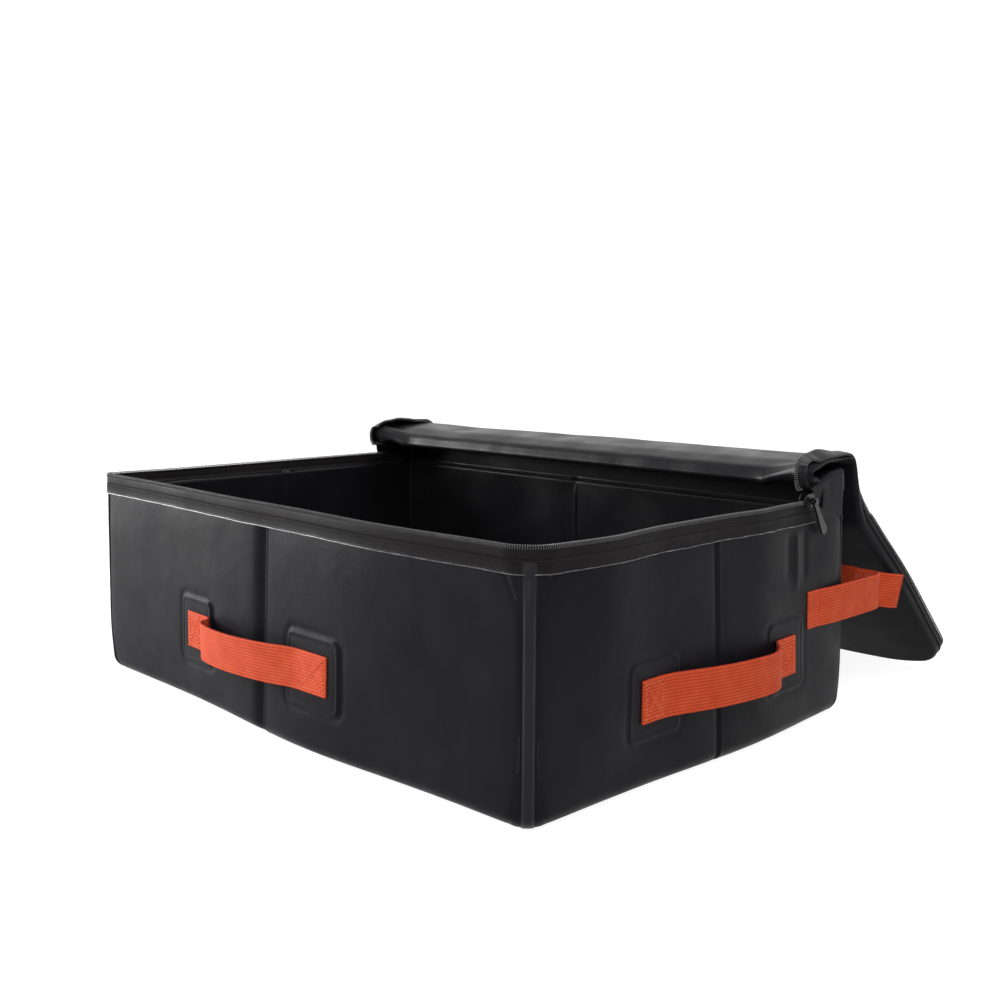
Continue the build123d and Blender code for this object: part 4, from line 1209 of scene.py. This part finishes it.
TAPE_PROFILE = [(-0.2, 7.2), (0.4, 7.5), (0.95, 7.9), (0.95, 8.4), (0.5, 9.0), (0.45, 10.4), (0.5, 11.8),
                (0.75, 12.2), (0.7, 12.7), (0.1, 13.3), (-0.6, 13.4), (-1.0, 12.8)]
TAPE_WIDTH = 9 * MM
for word, stations, blend, closed, tapes, coils in (
        ("back", first[first > FOLD_LOW - 7 * MM], STRIP_TO_FOLD, False, ["lid_back_strip_zip"], []),
        ("crest", second, FOLD_TO_REAR, False, ["lid_fold_zip"], []),
        ("front", third, REAR_TO_FRONT, True, ["lid_rear_zip", "lid_front_zip_tape"],
         ["lid_front_zip_coil"])):
    tape_parts, coil_parts = [], []
    border = lid_border(stations, 0.0, TURN_RADIUS, closed)
    for index, outline in enumerate(lid_sides(border, np.linspace(-1, 1, 221), closed)):
        rows = edge_rows(outline, TAPE_PROFILE)
        cloth = np.stack(np.meshgrid(run_of(rows[4]), np.linspace(0, TAPE_WIDTH, len(rows))), axis=2)
        tape_parts.append(sheet_mesh("lid_tape_" + word + str(index), rows, cloth))
        low, high = edge_rows(outline, [(-0.55, 13.0), (-0.55, 14.3)])
        coil_parts.append(grown_along("lid_coil_" + word + str(index), teeth, high, high - low,
                                      Material=coil_plastic))
    tape = thicken(joined("lid_zip_tape_" + word, tape_parts), 0.5 * MM)
    lid_piece(tape, rim_cloth, tapes)
    lid_piece(joined("lid_zip_coil_" + word, coil_parts), coil_plastic, coils)

# %% [markdown]
# Behind the zip's ends the wall's cloth simply goes on up and over into the lid. One sheet runs from the
# right side round the back to the left. Its foot lies flush on the walls, under the band's ends.

# %% Hinge cloth
def hinge_path():
    """Plan points and outward directions, from the right side round the back to the left."""
    run, out, radius = 224.85 * MM, 153.35 * MM, 3.4 * MM
    along_side = np.concatenate([np.arange(112.5, 135, 0.9), np.arange(135, 149.8, 1.4)]) * MM
    right_side = [(run, y, 1, 0) for y in along_side]
    for turn in np.linspace(0, pi / 2, 10):
        right_side.append((run - radius + radius * cos(turn), out - radius + radius * sin(turn),
                           cos(turn), sin(turn)))
    back = [(x, out, 0, 1) for x in np.linspace(run - radius, -run + radius, 120)[1:-1]]
    return np.array(right_side + back + [(-x, y, -nx, ny) for x, y, nx, ny in right_side[::-1]])


HINGE_PROFILE = [(-0.5, -1.0), (0.12, -0.97), (0.2, -0.9), (0.15, -0.7), (0.15, -0.45), (0.25, -0.2),
                 (0.5, 0.0), (0.9, 0.2), (1.2, 0.4), (1.3, 0.6), (1.3, 0.75), (1.3, 0.86), (1.1, 0.95),
                 (0.4, 1.0), (-0.8, 1.03), (-2.6, 1.02)]


def hinge_cloth():
    """The sheet itself, soft where it swells over the zip and rolled in at its top.

    A profile row is the stand-out in millimetres and the share of the height: -1 is the foot on the
    wall, 0 the rim and 1 the lid.
    """
    places = hinge_path()
    strip_y, strip_z = lid_line[lid_run < FOLD_LOW].T
    top = np.interp(np.clip(places[:, 1], 0.1155, 0.154), strip_y[::-1], strip_z[::-1]) + 0.2 * MM
    top = np.maximum(top, 160.4 * MM)
    run = run_of(places[:, :2])
    side = np.abs(places[:, 2])
    front = smooth(121 * MM, 115 * MM, places[:, 1]) * side
    rows, cloth = [], []
    for out, share in HINGE_PROFILE:
        level = np.broadcast_to(RIM + share * (14.5 * MM if share < 0 else top - RIM), run.shape)
        full = max(0.0, 1 - abs(share - 0.3) / 0.7)
        swell = 0.6 * MM * ripple(run, 0.35 * level, 13 * MM, 51) * full * side
        push = out * MM + swell - 0.45 * MM * front * (1 if share < 0.1 else 0)
        rows.append(np.stack([places[:, 0] + places[:, 2] * push, places[:, 1] + places[:, 3] * push,
                              level], axis=1))
        cloth.append(np.stack([run, level], axis=1))
    return thicken(sheet_mesh("rear_hinge_cloth", np.array(rows), np.array(cloth)), 0.8 * MM)


dress(hinge_cloth(), wall_cloth, "tub", ["rear_hinge_skin"])

# %% [markdown]
# ## Lid strap
#
# The lid has a strap of its own on its outer face. Its left end is sewn flat, its middle is drawn
# towards the box by the hold-back strap, and its right end stands upright.

# %% Lid strap
strap_rows = [(97, 232.9, 69.0, 41), (108, 232.8, 69.1, 41), (119, 232.1, 69.5, 40), (134, 229.0, 71.2, 34),
              (152, 223.0, 74.2, 23), (170, 216.0, 77.0, 12), (186, 211.0, 78.4, 3), (199, 208.9, 78.8, 0),
              (210, 208.0, 78.4, 0), (217.5, 208.9, 77.6, 2), (223.0, 213.6, 76.2, 6),
              (227.4, 222.4, 74.6, 10), (230.6, 231.6, 73.2, 14)]
line, run = curve_through([(x * MM, y * MM, z * MM, radians(t)) for x, y, z, t in strap_rows])
upright = np.stack([0 * run, -np.sin(line[:, 3]), np.cos(line[:, 3])], axis=1)
lid_strap = strap_mesh("lid_strap_webbing", line[:, :3], run, *strap_frame(line[:, :3], upright))
dress(lid_strap, webbing_cloth, "lid_front", ["lid_strap"], bow=False)

# %% [markdown]
# ## Hardware and boards
#
# The slider, its pull, the stops, the hook patch and the boards keep their solids. Each gets a
# material of its own: dark lacquered metal with fine scratches, moulded hooks, and black board.

# %% Carried-over solids
def repaint(names, material):
    """Give solids of the frame another material."""
    for name in names:
        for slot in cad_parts[name].material_slots:
            slot.material = material


lacquer, main, where = clouded("slider_lacquer", (0.012, 0.012, 0.013), 0.20, 3 * MM, (0.008, 0.008, 0.009),
                               (0.020, 0.020, 0.021), detail=5.0, metallic=0.1, specular=0.35)
cloudy(lacquer, where, 1.2 * MM, (0.14,) * 3, (0.34,) * 3, main.inputs["Roughness"], detail=6.0)
grained(lacquer, main, where, 0.6 * MM, 3.0, 0.03 * MM)
repaint(["zip_slider", "zip_pull"], lacquer)

hooks, main, where = clouded("hook_tape", (0.78, 0.09, 0.03), 0.55, 6 * MM, (0.66, 0.07, 0.025),
                             (0.86, 0.12, 0.05), specular=0.4)
grains = node(hooks, "ShaderNodeTexVoronoi", Scale=1 / (0.9 * MM))
link(hooks, where, grains.inputs["Vector"])
relief(hooks, main, grains.outputs[0], 0.5 * MM)
repaint(["hold_strap_hook_patch"], hooks)

stop_plastic = clouded("stop_plastic", (0.012, 0.0115, 0.0135), 0.45, 3 * MM, (0.009, 0.009, 0.010),
                       (0.013, 0.012, 0.014), specular=0.06)[0]
repaint(["zip_stops"], stop_plastic)
repaint([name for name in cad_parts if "_board" in name and name != "lid_front_board"], board)

# %% [markdown]
# ## Stage
#
# A plain white studio: a floor that keeps the soft shadow, a white surround for the camera and for
# reflections, and broad lamps. The front wall is lit from the left, the right wall stays darker.

# %% Floor and surround
floor_mesh = bpy.data.meshes.new("studio_floor")
floor_mesh.from_pydata([(-9, -9, 0), (9, -9, 0), (9, 9, 0), (-9, 9, 0)], [], [(0, 1, 2, 3)])
studio_floor = bpy.data.objects.new("studio_floor", floor_mesh)
studio_floor.location.z = -0.3 * MM
bpy.context.collection.objects.link(studio_floor)


def seen_directly(owner):
    """1 where the camera, a reflection or a view through glass looks, and 0 for other light."""
    rays = node(owner, "ShaderNodeLightPath").outputs
    seen = maths(owner, "MAXIMUM", rays["Is Camera Ray"], rays["Is Glossy Ray"])
    return maths(owner, "MAXIMUM", seen, rays["Is Transmission Ray"])


WHITE = (1, 1, 1, 1)
floor_look = bpy.data.materials.new("studio_floor")
floor_look.use_nodes = True
floor_look.node_tree.nodes.clear()
matt = node(floor_look, "ShaderNodeBsdfDiffuse", Color=(0.35, 0.35, 0.35, 1))
glow = node(floor_look, "ShaderNodeEmission")
dimmed = maths(floor_look, "MULTIPLY", seen_directly(floor_look), value=0.90)
link(floor_look, dimmed, glow.inputs["Strength"])
both = node(floor_look, "ShaderNodeAddShader")
link(floor_look, matt.outputs[0], both.inputs[0])
link(floor_look, glow.outputs[0], both.inputs[1])
link(floor_look, both.outputs[0], node(floor_look, "ShaderNodeOutputMaterial").inputs["Surface"])
floor_mesh.materials.append(floor_look)

world = bpy.data.worlds.new("studio")
bpy.context.scene.world = world
world.use_nodes = True
world.node_tree.nodes.clear()
soft_light = node(world, "ShaderNodeBackground", Color=WHITE, Strength=0.42)
surround = node(world, "ShaderNodeBackground", Color=WHITE, Strength=1.0)
choice = node(world, "ShaderNodeMixShader")
link(world, seen_directly(world), choice.inputs[0])
link(world, soft_light.outputs[0], choice.inputs[1])
link(world, surround.outputs[0], choice.inputs[2])
link(world, choice.outputs[0], node(world, "ShaderNodeOutputWorld").inputs["Surface"])


# %% Lamps
def lamp(name, where, aim, size, watts):
    """A broad soft lamp that looks at a point."""
    data = bpy.data.lights.new(name, "AREA")
    data.shape = "RECTANGLE"
    data.size, data.size_y = size
    data.energy = watts
    made = bpy.data.objects.new(name, data)
    bpy.context.collection.objects.link(made)
    made.location = where
    made.rotation_euler = (Vector(aim) - Vector(where)).to_track_quat("-Z", "Y").to_euler()


lamp("key", (-2.0, -0.95, 0.72), (0, 0, 0.08), (0.9, 1.1), 58)
lamp("top", (0.2, 0.5, 2.0), (0, 0, 0.1), (1.8, 1.2), 28)
lamp("side", (1.4, -1.9, 1.5), (0.1, 0, 0.08), (1.0, 1.2), 18)
bpy.context.scene.view_settings.view_transform = "Standard"
